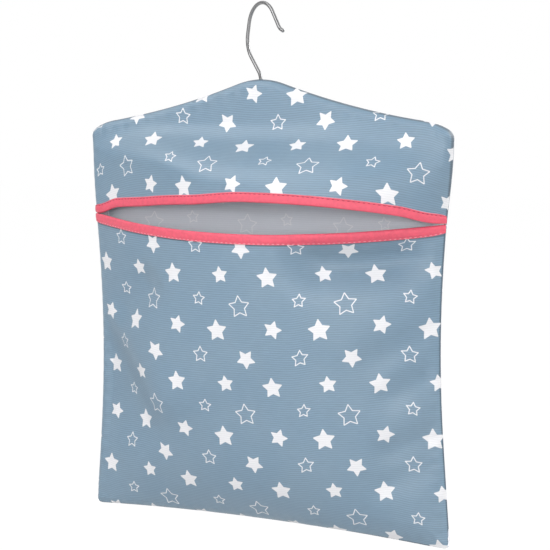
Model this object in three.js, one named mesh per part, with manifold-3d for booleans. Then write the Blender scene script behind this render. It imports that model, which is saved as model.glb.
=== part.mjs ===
// A hanging peg bag: a cloth bag with a bound, open mouth, carried by a wooden hanger with a swivel hook.
// Millimetres, +Z up, +X to the right seen from the front, and the front faces -Y.
// The origin is the seat of the hook, the underside of its crown, where a line or rail carries the bag.
import * as THREE from "three";
import { mergeVertices } from "three/addons/utils/BufferGeometryUtils.js";
import Module from "manifold-3d";

const { clamp, degToRad, lerp, smoothstep } = THREE.MathUtils;
const wasm = await Module();
wasm.setup();

// Fits
const GAP = 0.3; // between pieces that lie on each other
const CLOTH = 1.0; // a layer of the bag's cloth
const TAPE = 0.7; // a layer of the folded binding
const EASE = 0.8; // slack of the cloth round the hanger
const TAPE_EASE = 0.6; // slack of the binding round the cloth

// The hook, bent from one length of wire
const WIRE_DIAMETER = 3.2;
const SHANK_STANDOUT = 1.5; // straight wire above the cloth
const NECK_LEAN = degToRad(44); // lean of the wire between shank and crown
const NECK_BEND_RADIUS = 12;
const BACK_BEND_RADIUS = 22; // where the leaning wire turns upright again
const BACK_LENGTH = 6.5; // upright wire below the crown
const CROWN_RADIUS = 22;
const TIP_DIP = degToRad(53); // fall of the free end below level
const TIP_LENGTH = 16;
const FLARE_RADIUS = 9;
const FLARE_TURN = degToRad(30);
const FLARE_LENGTH = 3;
const HOOK_TURN = degToRad(-36); // where the swivel stands at rest
const WIRE_SIDES = 10;
const WIRE_STEPS = 56;

// The hook's peened head and its washer, in a pocket under the hanger
const HEAD_DIAMETER = 5.6;
const HEAD_HEIGHT = 2;
const WASHER_DIAMETER = 8;
const WASHER_THICKNESS = 1;
const POCKET_DEPTH = 5;
const ROUND_SIDES = 20;

// The hanger
const HANGER_ARM = 152; // each arm, from the middle to where its end rounds off
const HANGER_THICKNESS = 12;
const HANGER_NECK_DEPTH = 27; // top to underside in the middle
const HANGER_END_DEPTH = 16;
const HANGER_EDGE_RADIUS = 3;
const HANGER_STEPS = 16; // points along each arm
const HANGER_END_STEPS = 6;

// The shoulder line, four arcs on each side: a hump, a hollow arm, a drooping end and a corner
const BAG_WIDTH = 350; // across the shoulders
const HUMP_RADIUS = 66;
const NECK_SLOPE = degToRad(19.5); // steepest, where the hump meets the arm
const ARM_SLOPE = degToRad(8.5); // flattest, at the outer end of the arm
const DROOP_RADIUS = 55;
const DROOP_SLOPE = degToRad(29);
const CORNER_RADIUS = 10;

// The bag below the shoulders, in drops below its top
const BAG_HEIGHT = 405; // top of the cloth to the bottom corners
const BOTTOM_WIDTH = 355;
const WAIST_DRAW = 11; // how far each side draws in half way down
const HEM_LIFT = 6; // middle of the bottom above its corners
const MOUTH_DROP = 122; // top of the cloth to the corners of the mouth
const YOKE_ARCH = 18.5; // rise of the mouth's upper edge in the middle
const POUCH_SAG = 7.5; // fall of the mouth's lower edge in the middle
const YOKE_BULGE = 48; // how far the mouth's upper edge stands forward
const POUCH_BULGE = 50;
const BACK_BULGE = 10;
const SEAM_DEPTH = 3.6; // half thickness of the bag beside its bottom seam
const ROLL_REACH = 7; // how far in from the outline the cloth rolls round

// Powers that shape the cloth: a higher flatness keeps a curve level for longer before it falls at its ends
const ARCH_FLATNESS = 2.5; // mouth's upper edge
const SAG_FLATNESS = 3.5; // mouth's lower edge
const YOKE_FLATNESS_LEFT = 1.6; // across the yoke, which is held open further on its right
const YOKE_FLATNESS_RIGHT = 6;
const POUCH_FLATNESS = 2; // across the pouch
const POUCH_FALL = 8; // down the pouch
const POUCH_LEAN = 0.4; // share of the pouch's swell that it loses evenly on the way down
const BACK_FLATNESS = 3; // across the back
const BACK_FALL = 4; // down the back
const BACK_RISE = 0.5; // share of the back over which it leaves the hanger

// Binding on the two edges of the mouth, and the seam allowances turned inside
const BINDING_HEIGHT = 9.2;
const BINDING_END = 2.5; // end of the binding from the side seam
const ALLOWANCE_WIDTH = 9;
const ALLOWANCE_THICKNESS = 1.4; // two overlocked layers
const ALLOWANCE_INSET = 2.2; // from the outline
const PRESSED_WIDTH = 5; // shoulder allowances pressed open
const PRESSED_THICKNESS = 0.8;

// Facets of the cloth
const ROLL_STEPS = 3;
const MIDDLE_COLUMNS = 26;
const YOKE_ROWS = 8;
const POUCH_ROWS = 8;
const BACK_ROWS = 10;
const SEAM_STEPS = 20;

// Values worked out from the sizes above
const wireRadius = WIRE_DIAMETER / 2;
const halfShoulder = BAG_WIDTH / 2;
const hangerRoom = HANGER_THICKNESS / 2 + EASE + CLOTH; // half thickness of the bag over the hanger
const rawEdge = GAP / 2 + TAPE + TAPE_EASE; // cut edge of the mouth from the line where the bindings meet

// The bend from straight to the crown is laid out so that the crown stands over the shank.
const neckLength =
  (CROWN_RADIUS - (NECK_BEND_RADIUS + BACK_BEND_RADIUS) * (1 - Math.cos(NECK_LEAN))) / Math.sin(NECK_LEAN);
const hookRise =
  SHANK_STANDOUT +
  (NECK_BEND_RADIUS + BACK_BEND_RADIUS) * Math.sin(NECK_LEAN) +
  neckLength * Math.cos(NECK_LEAN) +
  BACK_LENGTH +
  CROWN_RADIUS -
  wireRadius;

// Solids and booleans

/** A closed geometry as a solid that can be joined and cut. */
function toSolid(geometry) {
  const bare = new THREE.BufferGeometry();
  bare.setAttribute("position", geometry.getAttribute("position"));
  bare.setIndex(geometry.index);
  const merged = mergeVertices(bare, 1e-4);
  return new wasm.Manifold(
    new wasm.Mesh({
      numProp: 3,
      vertProperties: new Float32Array(merged.attributes.position.array),
      triVerts: new Uint32Array(merged.index.array),
    }),
  );
}

/** A joined or cut solid as a geometry again. */
function toGeometry(solid) {
  const mesh = solid.getMesh();
  const geometry = new THREE.BufferGeometry();
  geometry.setAttribute("position", new THREE.BufferAttribute(mesh.vertProperties, 3));
  geometry.setIndex(new THREE.BufferAttribute(mesh.triVerts, 1));
  geometry.computeVertexNormals();
  return geometry;
}

/** An upright cylinder between two heights. */
function uprightCylinder(radius, low, high) {
  const cylinder = new THREE.CylinderGeometry(radius, radius, high - low, ROUND_SIDES);
  cylinder.rotateX(Math.PI / 2);
  cylinder.translate(0, 0, (low + high) / 2);
  return cylinder;
}

/** A closed geometry from points and triangles. */
function closedGeometry(points, triangles) {
  const geometry = new THREE.BufferGeometry().setFromPoints(points);
  geometry.setIndex(triangles);
  geometry.computeVertexNormals();
  return geometry;
}

/** A section carried through a row of stations, each a list of points in the same order, and closed. */
function sweep(stations, section) {
  const count = section.length;
  const triangles = [];
  for (let i = 0; i + 1 < stations.length; i++) {
    for (let k = 0; k < count; k++) {
      const next = (k + 1) % count;
      const [a, b, c, d] = [i * count + k, i * count + next, (i + 1) * count + next, (i + 1) * count + k];
      triangles.push(a, b, c, a, c, d);
    }
  }
  const last = (stations.length - 1) * count;
  for (const [a, b, c] of THREE.ShapeUtils.triangulateShape(section, [])) {
    triangles.push(a, c, b, last + a, last + b, last + c);
  }
  return outwards(stations.flat(), triangles);
}

/** The same closed mesh with its faces pointing out. */
function outwards(points, triangles) {
  let volume = 0;
  for (let i = 0; i < triangles.length; i += 3) {
    const [a, b, c] = [points[triangles[i]], points[triangles[i + 1]], points[triangles[i + 2]]];
    volume += a.dot(b.clone().cross(c));
  }
  return closedGeometry(points, volume < 0 ? triangles.reverse() : triangles);
}

// The flat outline of the bag: x across, drop below the top of the cloth

const humpEnd = HUMP_RADIUS * Math.sin(NECK_SLOPE);
const cornerStart = halfShoulder - CORNER_RADIUS * (1 - Math.sin(DROOP_SLOPE));
const droopStart = cornerStart - DROOP_RADIUS * (Math.sin(DROOP_SLOPE) - Math.sin(ARM_SLOPE));
const armRadius = (droopStart - humpEnd) / (Math.sin(NECK_SLOPE) - Math.sin(ARM_SLOPE));

// Each arc with its start, its slope there and its radius, which is negative where the line is hollow
const shoulderArcs = [
  { start: 0, slope: 0, radius: HUMP_RADIUS },
  { start: humpEnd, slope: NECK_SLOPE, radius: -armRadius },
  { start: droopStart, slope: ARM_SLOPE, radius: DROOP_RADIUS },
  { start: cornerStart, slope: DROOP_SLOPE, radius: CORNER_RADIUS },
];

/** Drop and slope of the shoulder line at a distance from the middle. */
function shoulderAt(x) {
  const reach = Math.min(Math.abs(x), halfShoulder);
  let drop = 0;
  let slope = 0;
  shoulderArcs.forEach((arc, i) => {
    if (reach < arc.start) return;
    const end = Math.min(reach, shoulderArcs[i + 1]?.start ?? halfShoulder);
    slope = Math.asin(clamp(Math.sin(arc.slope) + (end - arc.start) / arc.radius, -1, 1));
    drop += arc.radius * (Math.cos(arc.slope) - Math.cos(slope));
  });
  return { drop, slope };
}

const cornerDrop = shoulderAt(halfShoulder).drop; // where the sides begin

/** A point of the shoulder line moved inwards, square to it. */
function shoulderInset(x, inset) {
  const { drop, slope } = shoulderAt(x);
  const across = Math.abs(x) - inset * Math.sin(slope);
  return { x: Math.sign(x) * across, drop: drop + inset * Math.cos(slope) };
}

/** Half width of the bag at a drop. */
function halfWidth(drop) {
  const down = clamp((drop - cornerDrop) / (BAG_HEIGHT - cornerDrop), 0, 1);
  return lerp(halfShoulder, BOTTOM_WIDTH / 2, down) - WAIST_DRAW * Math.sin(Math.PI * down);
}

/** Drop of the bottom seam. */
function bottomDrop(u) {
  return BAG_HEIGHT - HEM_LIFT * (1 - u * u);
}

/** Drop of the cut edge above the mouth. */
function yokeEdge(u) {
  return MOUTH_DROP - rawEdge - YOKE_ARCH * (1 - Math.abs(u) ** ARCH_FLATNESS);
}

/** Drop of the cut edge below the mouth. */
function pouchEdge(u) {
  return MOUTH_DROP + rawEdge + POUCH_SAG * (1 - Math.abs(u) ** SAG_FLATNESS);
}

/** Distance of a point inwards from the outline of the bag. */
function edgeDistance(x, drop) {
  const across = Math.abs(x);
  const cornerX = halfShoulder - CORNER_RADIUS;
  const aside = across - cornerX;
  const above = cornerDrop - drop;
  if (above > 0 && aside > above * Math.tan(DROOP_SLOPE)) {
    return Math.max(CORNER_RADIUS - Math.hypot(aside, above), 0);
  }
  const shoulder = shoulderAt(x);
  const fromTop = (drop - shoulder.drop) * Math.cos(shoulder.slope);
  const fromSide = halfWidth(drop) - across;
  const fromBottom = bottomDrop(x / halfWidth(drop)) - drop;
  return Math.max(Math.min(fromTop, fromSide, fromBottom), 0);
}

// The three panels, each a depth in front of or behind the middle plane

/** Depth of the cloth that the rolled edge gives. */
function rollDepth(x, drop) {
  const down = clamp((drop - MOUTH_DROP) / (BAG_HEIGHT - MOUTH_DROP), 0, 1);
  const full = lerp(hangerRoom, SEAM_DEPTH, down) - GAP / 2;
  const share = Math.min(edgeDistance(x, drop) / ROLL_REACH, 1);
  return GAP / 2 + full * Math.sqrt(1 - (1 - share) ** 2);
}

/** How full a panel is across its width, from 1 in the middle to 0 at the sides. */
function fullness(u, flatness) {
  return Math.max(1 - Math.abs(u) ** flatness, 0);
}

/** A point of the bag from its share of the half width, its drop and its depth. */
function bagPoint(u, drop, depth) {
  return new THREE.Vector3(u * halfWidth(drop), depth, -drop);
}

/** The outer face of the yoke, which hangs over the hanger and then stands forward to the mouth. */
function yokePoint(u, drop) {
  const x = u * halfWidth(drop);
  const from = shoulderAt(x).drop + HANGER_END_DEPTH;
  const flatness = u < 0 ? YOKE_FLATNESS_LEFT : YOKE_FLATNESS_RIGHT;
  const swell = YOKE_BULGE * fullness(u, flatness) * smoothstep(drop, from, yokeEdge(u));
  return bagPoint(u, drop, -rollDepth(x, drop) - swell);
}

/** The outer face of the pouch, fullest at the mouth and flat at the bottom seam. */
function pouchPoint(u, drop) {
  const x = u * halfWidth(drop);
  const down = clamp((drop - pouchEdge(u)) / (bottomDrop(u) - pouchEdge(u)), 0, 1);
  const hang = 1 - POUCH_LEAN * down - (1 - POUCH_LEAN) * down ** POUCH_FALL;
  const swell = POUCH_BULGE * fullness(u, POUCH_FLATNESS) * hang;
  return bagPoint(u, drop, -rollDepth(x, drop) - swell);
}

/** The outer face of the back panel. */
function backPoint(u, drop) {
  const x = u * halfWidth(drop);
  const from = shoulderAt(x).drop + HANGER_END_DEPTH;
  const down = clamp((drop - from) / (bottomDrop(u) - from), 0, 1);
  const rise = Math.sin((Math.PI / 2) * Math.min(down / BACK_RISE, 1)) ** 2;
  const swell = BACK_BULGE * fullness(u, BACK_FLATNESS) * rise * fullness(down, BACK_FALL);
  return bagPoint(u, drop, rollDepth(x, drop) + swell);
}

/** Distances in from an edge that follow the cloth's roll. */
function rollSteps(steps) {
  const turns = Array.from({ length: steps + 1 }, (_, k) => (k / steps) * (Math.PI / 2));
  return turns.map((turn) => ROLL_REACH * (1 - Math.cos(turn)));
}

/** Shares of the half width for the columns of a panel, close together at the rolled sides. */
function panelColumns() {
  const side = rollSteps(ROLL_STEPS).map((inset) => 1 - inset / halfShoulder);
  const inner = side[side.length - 1];
  const middle = [];
  for (let k = 1; k < MIDDLE_COLUMNS; k++) middle.push(inner * (1 - (2 * k) / MIDDLE_COLUMNS));
  return [...side, ...middle, ...side.map((u) => -u).reverse()].reverse();
}

// Distances from an end of a panel that get a row of their own: down a rolled edge, or under a binding
const rolledEnd = rollSteps(ROLL_STEPS + 1);
const boundEnd = [0, BINDING_HEIGHT];

/** Drops of a panel's rows, evenly spread between its two ends. */
function panelRows(top, bottom, count, atTop, atBottom) {
  const start = top + atTop.at(-1);
  const end = bottom - atBottom.at(-1);
  const even = Array.from({ length: count - 1 }, (_, k) => lerp(start, end, (k + 1) / count));
  const first = atTop.map((inset) => top + inset);
  const last = atBottom.map((inset) => bottom - inset).reverse();
  return [...first, ...even, ...last];
}

/**
 * A panel of cloth with its thickness. Each column is a list of points of the outer face, top to bottom.
 * seamed(row) says which rows lie in a seam. There, as along both sides, the thickness lies in the
 * middle plane.
 */
function clothPanel(columns, seamed) {
  const rows = columns[0].length;
  const lastColumn = columns.length - 1;
  const at = (i, j) => i * rows + j;
  const outer = columns.flat();
  const faces = [];
  for (let i = 0; i < lastColumn; i++) {
    for (let j = 0; j + 1 < rows; j++) {
      faces.push(at(i, j), at(i, j + 1), at(i + 1, j + 1), at(i, j), at(i + 1, j + 1), at(i + 1, j));
    }
  }
  const side = Math.sign(outer[0].y);
  const normals = closedGeometry(outer, faces).getAttribute("normal");
  const facing = side * Math.sign(normals.getY(at(lastColumn >> 1, rows >> 1)));
  const inner = outer.map((point, k) => {
    const normal = new THREE.Vector3().fromBufferAttribute(normals, k).multiplyScalar(facing);
    const column = Math.floor(k / rows);
    if (column === 0 || column === lastColumn || seamed(k % rows)) normal.setY(0).normalize();
    const moved = point.clone().addScaledVector(normal, -CLOTH);
    return moved.setY(side * Math.max(side * moved.y, GAP / 2));
  });
  const count = outer.length;
  const triangles = [...faces];
  for (let k = 0; k < faces.length; k += 3) {
    triangles.push(count + faces[k], count + faces[k + 2], count + faces[k + 1]);
  }
  const rim = [];
  for (let j = 0; j < rows; j++) rim.push(at(0, j));
  for (let i = 1; i <= lastColumn; i++) rim.push(at(i, rows - 1));
  for (let j = rows - 2; j >= 0; j--) rim.push(at(lastColumn, j));
  for (let i = lastColumn - 1; i > 0; i--) rim.push(at(i, 0));
  rim.forEach((a, k) => {
    const b = rim[(k + 1) % rim.length];
    triangles.push(b, a, count + a, b, count + a, count + b);
  });
  return outwards([...outer, ...inner], triangles);
}

/** The hole where the hook's shank comes out between the front and back panels. */
function shankHole() {
  return toSolid(uprightCylinder(wireRadius + 2 * GAP, -HANGER_NECK_DEPTH, HANGER_NECK_DEPTH));
}

/** Columns of a panel's outer face: rows(u) gives the drops and pointAt(u, drop) the point. */
function panelFace(rows, pointAt) {
  return panelColumns().map((u) => rows(u).map((drop) => pointAt(u, drop)));
}

function frontYoke() {
  const topAt = (u) => shoulderAt(u * halfShoulder).drop;
  const rows = (u) => panelRows(topAt(u), yokeEdge(u), YOKE_ROWS, rolledEnd, boundEnd);
  const panel = clothPanel(panelFace(rows, yokePoint), (row) => row === 0);
  return toGeometry(toSolid(panel).subtract(shankHole()));
}

function backPanel() {
  const topAt = (u) => shoulderAt(u * halfShoulder).drop;
  const rows = (u) => panelRows(topAt(u), bottomDrop(u), BACK_ROWS, rolledEnd, rolledEnd);
  const last = rows(0).length - 1;
  const panel = clothPanel(panelFace(rows, backPoint), (row) => row === 0 || row === last);
  return toGeometry(toSolid(panel).subtract(shankHole()));
}

function frontPouch() {
  const rows = (u) => panelRows(pouchEdge(u), bottomDrop(u), POUCH_ROWS, boundEnd, rolledEnd);
  const last = rows(0).length - 1;
  return clothPanel(panelFace(rows, pouchPoint), (row) => row === last);
}

// Binding: a folded tape that wraps both faces of a cut edge

/** Outward normal of a panel's face. */
function faceNormal(pointAt, u, drop) {
  const step = 0.5;
  const across = pointAt(u + step / halfShoulder, drop).sub(pointAt(u - step / halfShoulder, drop));
  const down = pointAt(u, drop + step).sub(pointAt(u, drop - step));
  const normal = across.cross(down).normalize();
  return normal.y > 0 ? normal.negate() : normal;
}

/** The folded tape on a cut edge: into is -1 where the cloth lies above the edge and 1 where it is below. */
function binding(pointAt, edgeAt, into) {
  const fold = TAPE_EASE + TAPE;
  const leg = BINDING_HEIGHT - fold;
  const section = [
    [leg, TAPE_EASE],
    [leg, fold],
    [-fold, fold],
    [-fold, -CLOTH - fold],
    [leg, -CLOTH - fold],
    [leg, -CLOTH - TAPE_EASE],
    [-TAPE_EASE, -CLOTH - TAPE_EASE],
    [-TAPE_EASE, TAPE_EASE],
  ].map(([along, proud]) => new THREE.Vector2(along, proud));
  const end = 1 - BINDING_END / halfShoulder;
  const inner = panelColumns().filter((u) => Math.abs(u) < end - 1e-6);
  const stations = [-end, ...inner, end].map((u) => {
    const normal = faceNormal(pointAt, u, edgeAt(u) + (into * leg) / 2);
    return section.map(({ x, y }) => pointAt(u, edgeAt(u) + into * x).addScaledVector(normal, y));
  });
  return sweep(stations, section);
}

// Seam allowances, turned to the inside of the bag

/** A flat strip in the middle plane between two lines, each a list of points. */
function allowanceStrip(outerLine, innerLine) {
  const half = ALLOWANCE_THICKNESS / 2;
  const section = [
    [0, -half],
    [1, -half],
    [1, half],
    [0, half],
  ].map(([share, y]) => new THREE.Vector2(share, y));
  const stations = outerLine.map((from, i) =>
    section.map(({ x, y }) => from.clone().lerp(innerLine[i], x).setY(y)),
  );
  return sweep(stations, section);
}

/** The overlocked allowance of a side seam. */
function sideSeam(side) {
  const foot = bottomDrop(0) - ALLOWANCE_INSET - ALLOWANCE_WIDTH - GAP;
  const drops = Array.from({ length: SEAM_STEPS + 1 }, (_, k) => lerp(cornerDrop, foot, k / SEAM_STEPS));
  const line = (inset) => drops.map((drop) => new THREE.Vector3(side * (halfWidth(drop) - inset), 0, -drop));
  return allowanceStrip(line(ALLOWANCE_INSET), line(ALLOWANCE_INSET + ALLOWANCE_WIDTH));
}

/** The overlocked allowance of the bottom seam, between those of the sides. */
function bottomSeam() {
  const reach = BOTTOM_WIDTH / 2 - ALLOWANCE_INSET - ALLOWANCE_WIDTH;
  const shares = Array.from({ length: SEAM_STEPS + 1 }, (_, k) => lerp(-1, 1, k / SEAM_STEPS));
  const line = (inset) =>
    shares.map((u) => new THREE.Vector3(u * reach, 0, -(bottomDrop((u * reach * 2) / BOTTOM_WIDTH) - inset)));
  return allowanceStrip(line(ALLOWANCE_INSET), line(ALLOWANCE_INSET + ALLOWANCE_WIDTH));
}

// The shoulder allowances lie pressed open on the hanger, just under the roll of the cloth.
const pressedRoll = ROLL_REACH * (1 - Math.sqrt(1 - (PRESSED_WIDTH / 2 / hangerRoom) ** 2));
const pressedInset = CLOTH + pressedRoll + EASE;
const hangerInset = pressedInset + PRESSED_THICKNESS + GAP;

/** The pressed allowance of one shoulder seam. */
function shoulderSeam(side) {
  const half = PRESSED_WIDTH / 2;
  const section = [
    [0, -half],
    [PRESSED_THICKNESS, -half],
    [PRESSED_THICKNESS, half],
    [0, half],
  ].map(([depth, y]) => new THREE.Vector2(depth, y));
  const start = wireRadius + 4 * GAP;
  const stations = Array.from({ length: SEAM_STEPS + 1 }, (_, k) => {
    const x = side * lerp(start, droopStart, k / SEAM_STEPS);
    return section.map((corner) => {
      const point = shoulderInset(x, pressedInset + corner.x);
      return new THREE.Vector3(point.x, corner.y, -point.drop);
    });
  });
  return sweep(stations, section);
}

// The wooden hanger, cut from board to the shoulder line, with rounded edges

function hangerBar() {
  const towardsEnd = (x) => Math.sin((Math.abs(x) / HANGER_ARM) * (Math.PI / 2));
  const depthAt = (x) => lerp(HANGER_NECK_DEPTH, HANGER_END_DEPTH, towardsEnd(x));
  const lineAt = (x, inset) => {
    const point = shoulderInset(x, inset);
    return new THREE.Vector2(point.x, -point.drop);
  };
  const spread = Array.from({ length: 2 * HANGER_STEPS + 1 }, (_, k) => HANGER_ARM * (k / HANGER_STEPS - 1));
  const topLine = spread.map((x) => lineAt(x, hangerInset));
  const underLine = spread.map((x) => lineAt(x, hangerInset + depthAt(x)));
  const roundEnd = (top, under) => {
    const centre = top.clone().lerp(under, 0.5);
    const turns = Array.from({ length: HANGER_END_STEPS - 1 }, (_, k) => (k + 1) / HANGER_END_STEPS);
    return turns.map((turn) => top.clone().rotateAround(centre, -Math.PI * turn));
  };
  const last = spread.length - 1;
  const outline = [
    ...topLine,
    ...roundEnd(topLine[last], underLine[last]),
    ...underLine.reverse(),
    ...roundEnd(underLine[last], topLine[0]),
  ];
  const board = new THREE.ExtrudeGeometry(new THREE.Shape(outline), {
    depth: HANGER_THICKNESS - 2 * HANGER_EDGE_RADIUS,
    bevelEnabled: true,
    bevelThickness: HANGER_EDGE_RADIUS,
    bevelSize: HANGER_EDGE_RADIUS,
    bevelOffset: -HANGER_EDGE_RADIUS,
    bevelSegments: 2,
  });
  board.translate(0, 0, HANGER_EDGE_RADIUS - HANGER_THICKNESS / 2);
  board.rotateX(Math.PI / 2);
  const bore = toSolid(uprightCylinder(wireRadius + GAP, -2 * HANGER_NECK_DEPTH, HANGER_NECK_DEPTH));
  const pocket = toSolid(uprightCylinder(WASHER_DIAMETER / 2 + GAP, -2 * HANGER_NECK_DEPTH, pocketCeiling));
  return toGeometry(toSolid(board).subtract(bore).subtract(pocket));
}

// Heights of the hook's lower end, from the top of the cloth
const pocketCeiling = -(hangerInset + HANGER_NECK_DEPTH - POCKET_DEPTH);
const washerTop = pocketCeiling - GAP;
const headTop = washerTop - WASHER_THICKNESS - GAP;

// The hook, in the plane y = 0 of its own group, with the shank on the swivel's axis

/** A wire bent in the plane y = 0 from straights and arcs, starting upwards. Positive bends turn to +X. */
class BentWire extends THREE.Curve {
  constructor(foot, runs) {
    super();
    this.foot = foot;
    this.runs = runs;
    this.total = runs.reduce((sum, run) => sum + run.length, 0);
  }

  getPoint(t, target = new THREE.Vector3()) {
    let left = t * this.total;
    let heading = 0;
    let [x, z] = [0, this.foot];
    for (const { length, bend } of this.runs) {
      const part = Math.min(left, length);
      if (bend) {
        const radius = length / bend;
        const turned = heading + part / radius;
        x += radius * (Math.cos(heading) - Math.cos(turned));
        z += radius * (Math.sin(turned) - Math.sin(heading));
        heading = turned;
      } else {
        x += part * Math.sin(heading);
        z += part * Math.cos(heading);
      }
      left -= part;
      if (left <= 0) break;
    }
    return target.set(x, 0, z);
  }
}

const straight = (length) => ({ length, bend: 0 });
const arc = (radius, bend) => ({ length: radius * Math.abs(bend), bend });

function hookWire() {
  const path = new BentWire(headTop, [
    straight(SHANK_STANDOUT - headTop),
    arc(NECK_BEND_RADIUS, -NECK_LEAN),
    straight(neckLength),
    arc(BACK_BEND_RADIUS, NECK_LEAN),
    straight(BACK_LENGTH),
    arc(CROWN_RADIUS, Math.PI / 2 + TIP_DIP),
    straight(TIP_LENGTH),
    arc(FLARE_RADIUS, -FLARE_TURN),
    straight(FLARE_LENGTH),
  ]);
  const corners = Array.from({ length: WIRE_SIDES }, (_, k) => {
    const angle = (2 * Math.PI * k) / WIRE_SIDES;
    return new THREE.Vector2(wireRadius * Math.cos(angle), wireRadius * Math.sin(angle));
  });
  const wire = new THREE.ExtrudeGeometry(new THREE.Shape(corners), {
    extrudePath: path,
    steps: WIRE_STEPS,
    bevelEnabled: false,
  });
  const end = path.getPoint(1);
  const roundTip = new THREE.SphereGeometry(wireRadius, WIRE_SIDES, WIRE_SIDES / 2);
  roundTip.translate(end.x, end.y, end.z);
  const profile = [
    [0, headTop - HEAD_HEIGHT],
    [HEAD_DIAMETER / 3, headTop - HEAD_HEIGHT],
    [HEAD_DIAMETER / 2, headTop - HEAD_HEIGHT / 2],
    [HEAD_DIAMETER / 2, headTop],
    [wireRadius * 0.9, headTop + GAP / 2],
    [0, headTop + GAP / 2],
  ].map(([radius, height]) => new THREE.Vector2(radius, height));
  const head = new THREE.LatheGeometry(profile, ROUND_SIDES).rotateX(Math.PI / 2);
  return toGeometry(toSolid(wire).add(toSolid(roundTip)).add(toSolid(head)));
}

function hookWasher() {
  const bore = wireRadius + GAP;
  const low = washerTop - WASHER_THICKNESS;
  const ring = [
    [bore, low],
    [WASHER_DIAMETER / 2, low],
    [WASHER_DIAMETER / 2, washerTop],
    [bore, washerTop],
    [bore, low],
  ].map(([radius, height]) => new THREE.Vector2(radius, height));
  return new THREE.LatheGeometry(ring, ROUND_SIDES).rotateX(Math.PI / 2);
}

// Finishes
const STEEL = { color: 0xc9cacc, roughness: 0.22, metalness: 1 };
const BEECH = { color: 0xd3b284, roughness: 0.55, metalness: 0 };
const PRINT = { color: 0x8aa6bb, roughness: 0.9, metalness: 0 };
const PINK = { color: 0xeb788b, roughness: 0.85, metalness: 0 };
const OVERLOCK = { color: 0xc3cbd3, roughness: 0.95, metalness: 0 };

/** One named piece with its own material. */
function piece(name, geometry, finish) {
  const mesh = new THREE.Mesh(geometry, new THREE.MeshStandardMaterial(finish));
  mesh.name = name;
  return mesh;
}

const hook = new THREE.Group();
hook.position.z = -hookRise;
hook.rotation.z = HOOK_TURN;
hook.add(piece("hook_wire", hookWire(), STEEL), piece("hook_washer", hookWasher(), STEEL));

const bag = new THREE.Group();
bag.position.z = -hookRise;
bag.add(
  piece("hanger_bar", hangerBar(), BEECH),
  piece("back_panel", backPanel(), PRINT),
  piece("front_yoke", frontYoke(), PRINT),
  piece("front_pouch", frontPouch(), PRINT),
  piece("yoke_binding", binding(yokePoint, yokeEdge, -1), PINK),
  piece("pouch_binding", binding(pouchPoint, pouchEdge, 1), PINK),
  piece("left_side_seam", sideSeam(-1), OVERLOCK),
  piece("right_side_seam", sideSeam(1), OVERLOCK),
  piece("bottom_seam", bottomSeam(), OVERLOCK),
  piece("left_shoulder_seam", shoulderSeam(-1), OVERLOCK),
  piece("right_shoulder_seam", shoulderSeam(1), OVERLOCK),
);

const pegBag = new THREE.Group();
pegBag.add(hook, bag);

export default pegBag;
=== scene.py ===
"""A hanging peg bag: a star-printed cloth bag with a bound open mouth, on a wooden hanger with a swivel hook.

Sizes are millimetres in the classes below and become metres where a mesh is made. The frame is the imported
part's own: +Z up, +X to the right seen from the front, the mouth faces -Y, and the origin is the hook's seat.
A place on the bag is given by x, across it, and drop, below the top of the cloth. A share u is x as a part of
the half width at that drop.
"""

import logging
import math
from dataclasses import dataclass, field
from enum import Enum
from functools import partial, reduce
from typing import Callable, Sequence

import bpy
import numpy as np
from mathutils import Matrix, Vector


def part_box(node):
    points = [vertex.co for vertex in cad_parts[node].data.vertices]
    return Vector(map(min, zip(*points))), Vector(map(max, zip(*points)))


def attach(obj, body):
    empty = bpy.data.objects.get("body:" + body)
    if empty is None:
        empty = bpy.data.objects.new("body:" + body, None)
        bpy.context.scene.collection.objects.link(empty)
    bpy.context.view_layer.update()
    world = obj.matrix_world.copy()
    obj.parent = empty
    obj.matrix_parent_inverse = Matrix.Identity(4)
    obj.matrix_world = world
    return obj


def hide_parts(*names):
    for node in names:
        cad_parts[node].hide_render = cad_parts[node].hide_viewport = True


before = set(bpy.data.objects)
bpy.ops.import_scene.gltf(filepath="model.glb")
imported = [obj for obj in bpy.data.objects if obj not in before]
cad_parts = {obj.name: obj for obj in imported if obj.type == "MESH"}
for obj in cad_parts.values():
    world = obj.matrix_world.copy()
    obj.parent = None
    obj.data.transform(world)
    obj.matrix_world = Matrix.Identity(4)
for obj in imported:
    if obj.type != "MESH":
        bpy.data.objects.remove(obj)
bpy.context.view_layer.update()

LOG = logging.getLogger("peg_bag")
MM = 0.001
CM_PER_MM = 0.1
# Distance from the lines along which the cloth's dye is darkened as painted shade: the seams and the pouch
# tape's lower edge.
SHADE_LINE_DISTANCE = "shade_line_distance"
# The part of a noise pattern's values that is used, for soft and for sharper clouds.
NOISE_RANGE = (0.3, 0.7)
SHARP_NOISE_RANGE = (0.35, 0.65)
WHITE = (1.0, 1.0, 1.0, 1.0)

Array = np.ndarray
Pair = tuple[float, float]
Colour = tuple[float, float, float]
Triple = tuple[float, float, float]
Line = Callable[[Array], Array]
Surface = Callable[[Array, Array], Array]
Piece = bpy.types.Object
Socket = bpy.types.NodeSocket
Input = Socket | float | Sequence[float]


class Body(Enum):
    """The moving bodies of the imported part."""

    HOOK = "hook"
    BAG = "bag"


class Slot(Enum):
    """Names of the record's material slots for new pieces; nothing in the script sets them."""

    STEEL = "hook_steel"
    PRINT = "printed_cloth"
    TAPE = "binding_tape"
    SEAM = "seam_cloth"


class Side(Enum):
    """Which way a panel faces, as the sign of Y."""

    FRONT = -1
    BACK = 1


class FoldKind(Enum):
    """The section of a fold: a rounded ridge, or a step from a hollow up to a ridge."""

    RIDGE = "ridge"
    STEP = "step"


class StarKind(Enum):
    """How a star is printed."""

    FILLED = "filled"
    OUTLINE = "outline"


def smooth(value: Array) -> Array:
    """Eases a share from 0 to 1 at both of its ends."""
    share = np.clip(value, 0.0, 1.0)
    return share * share * (3 - 2 * share)


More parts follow.
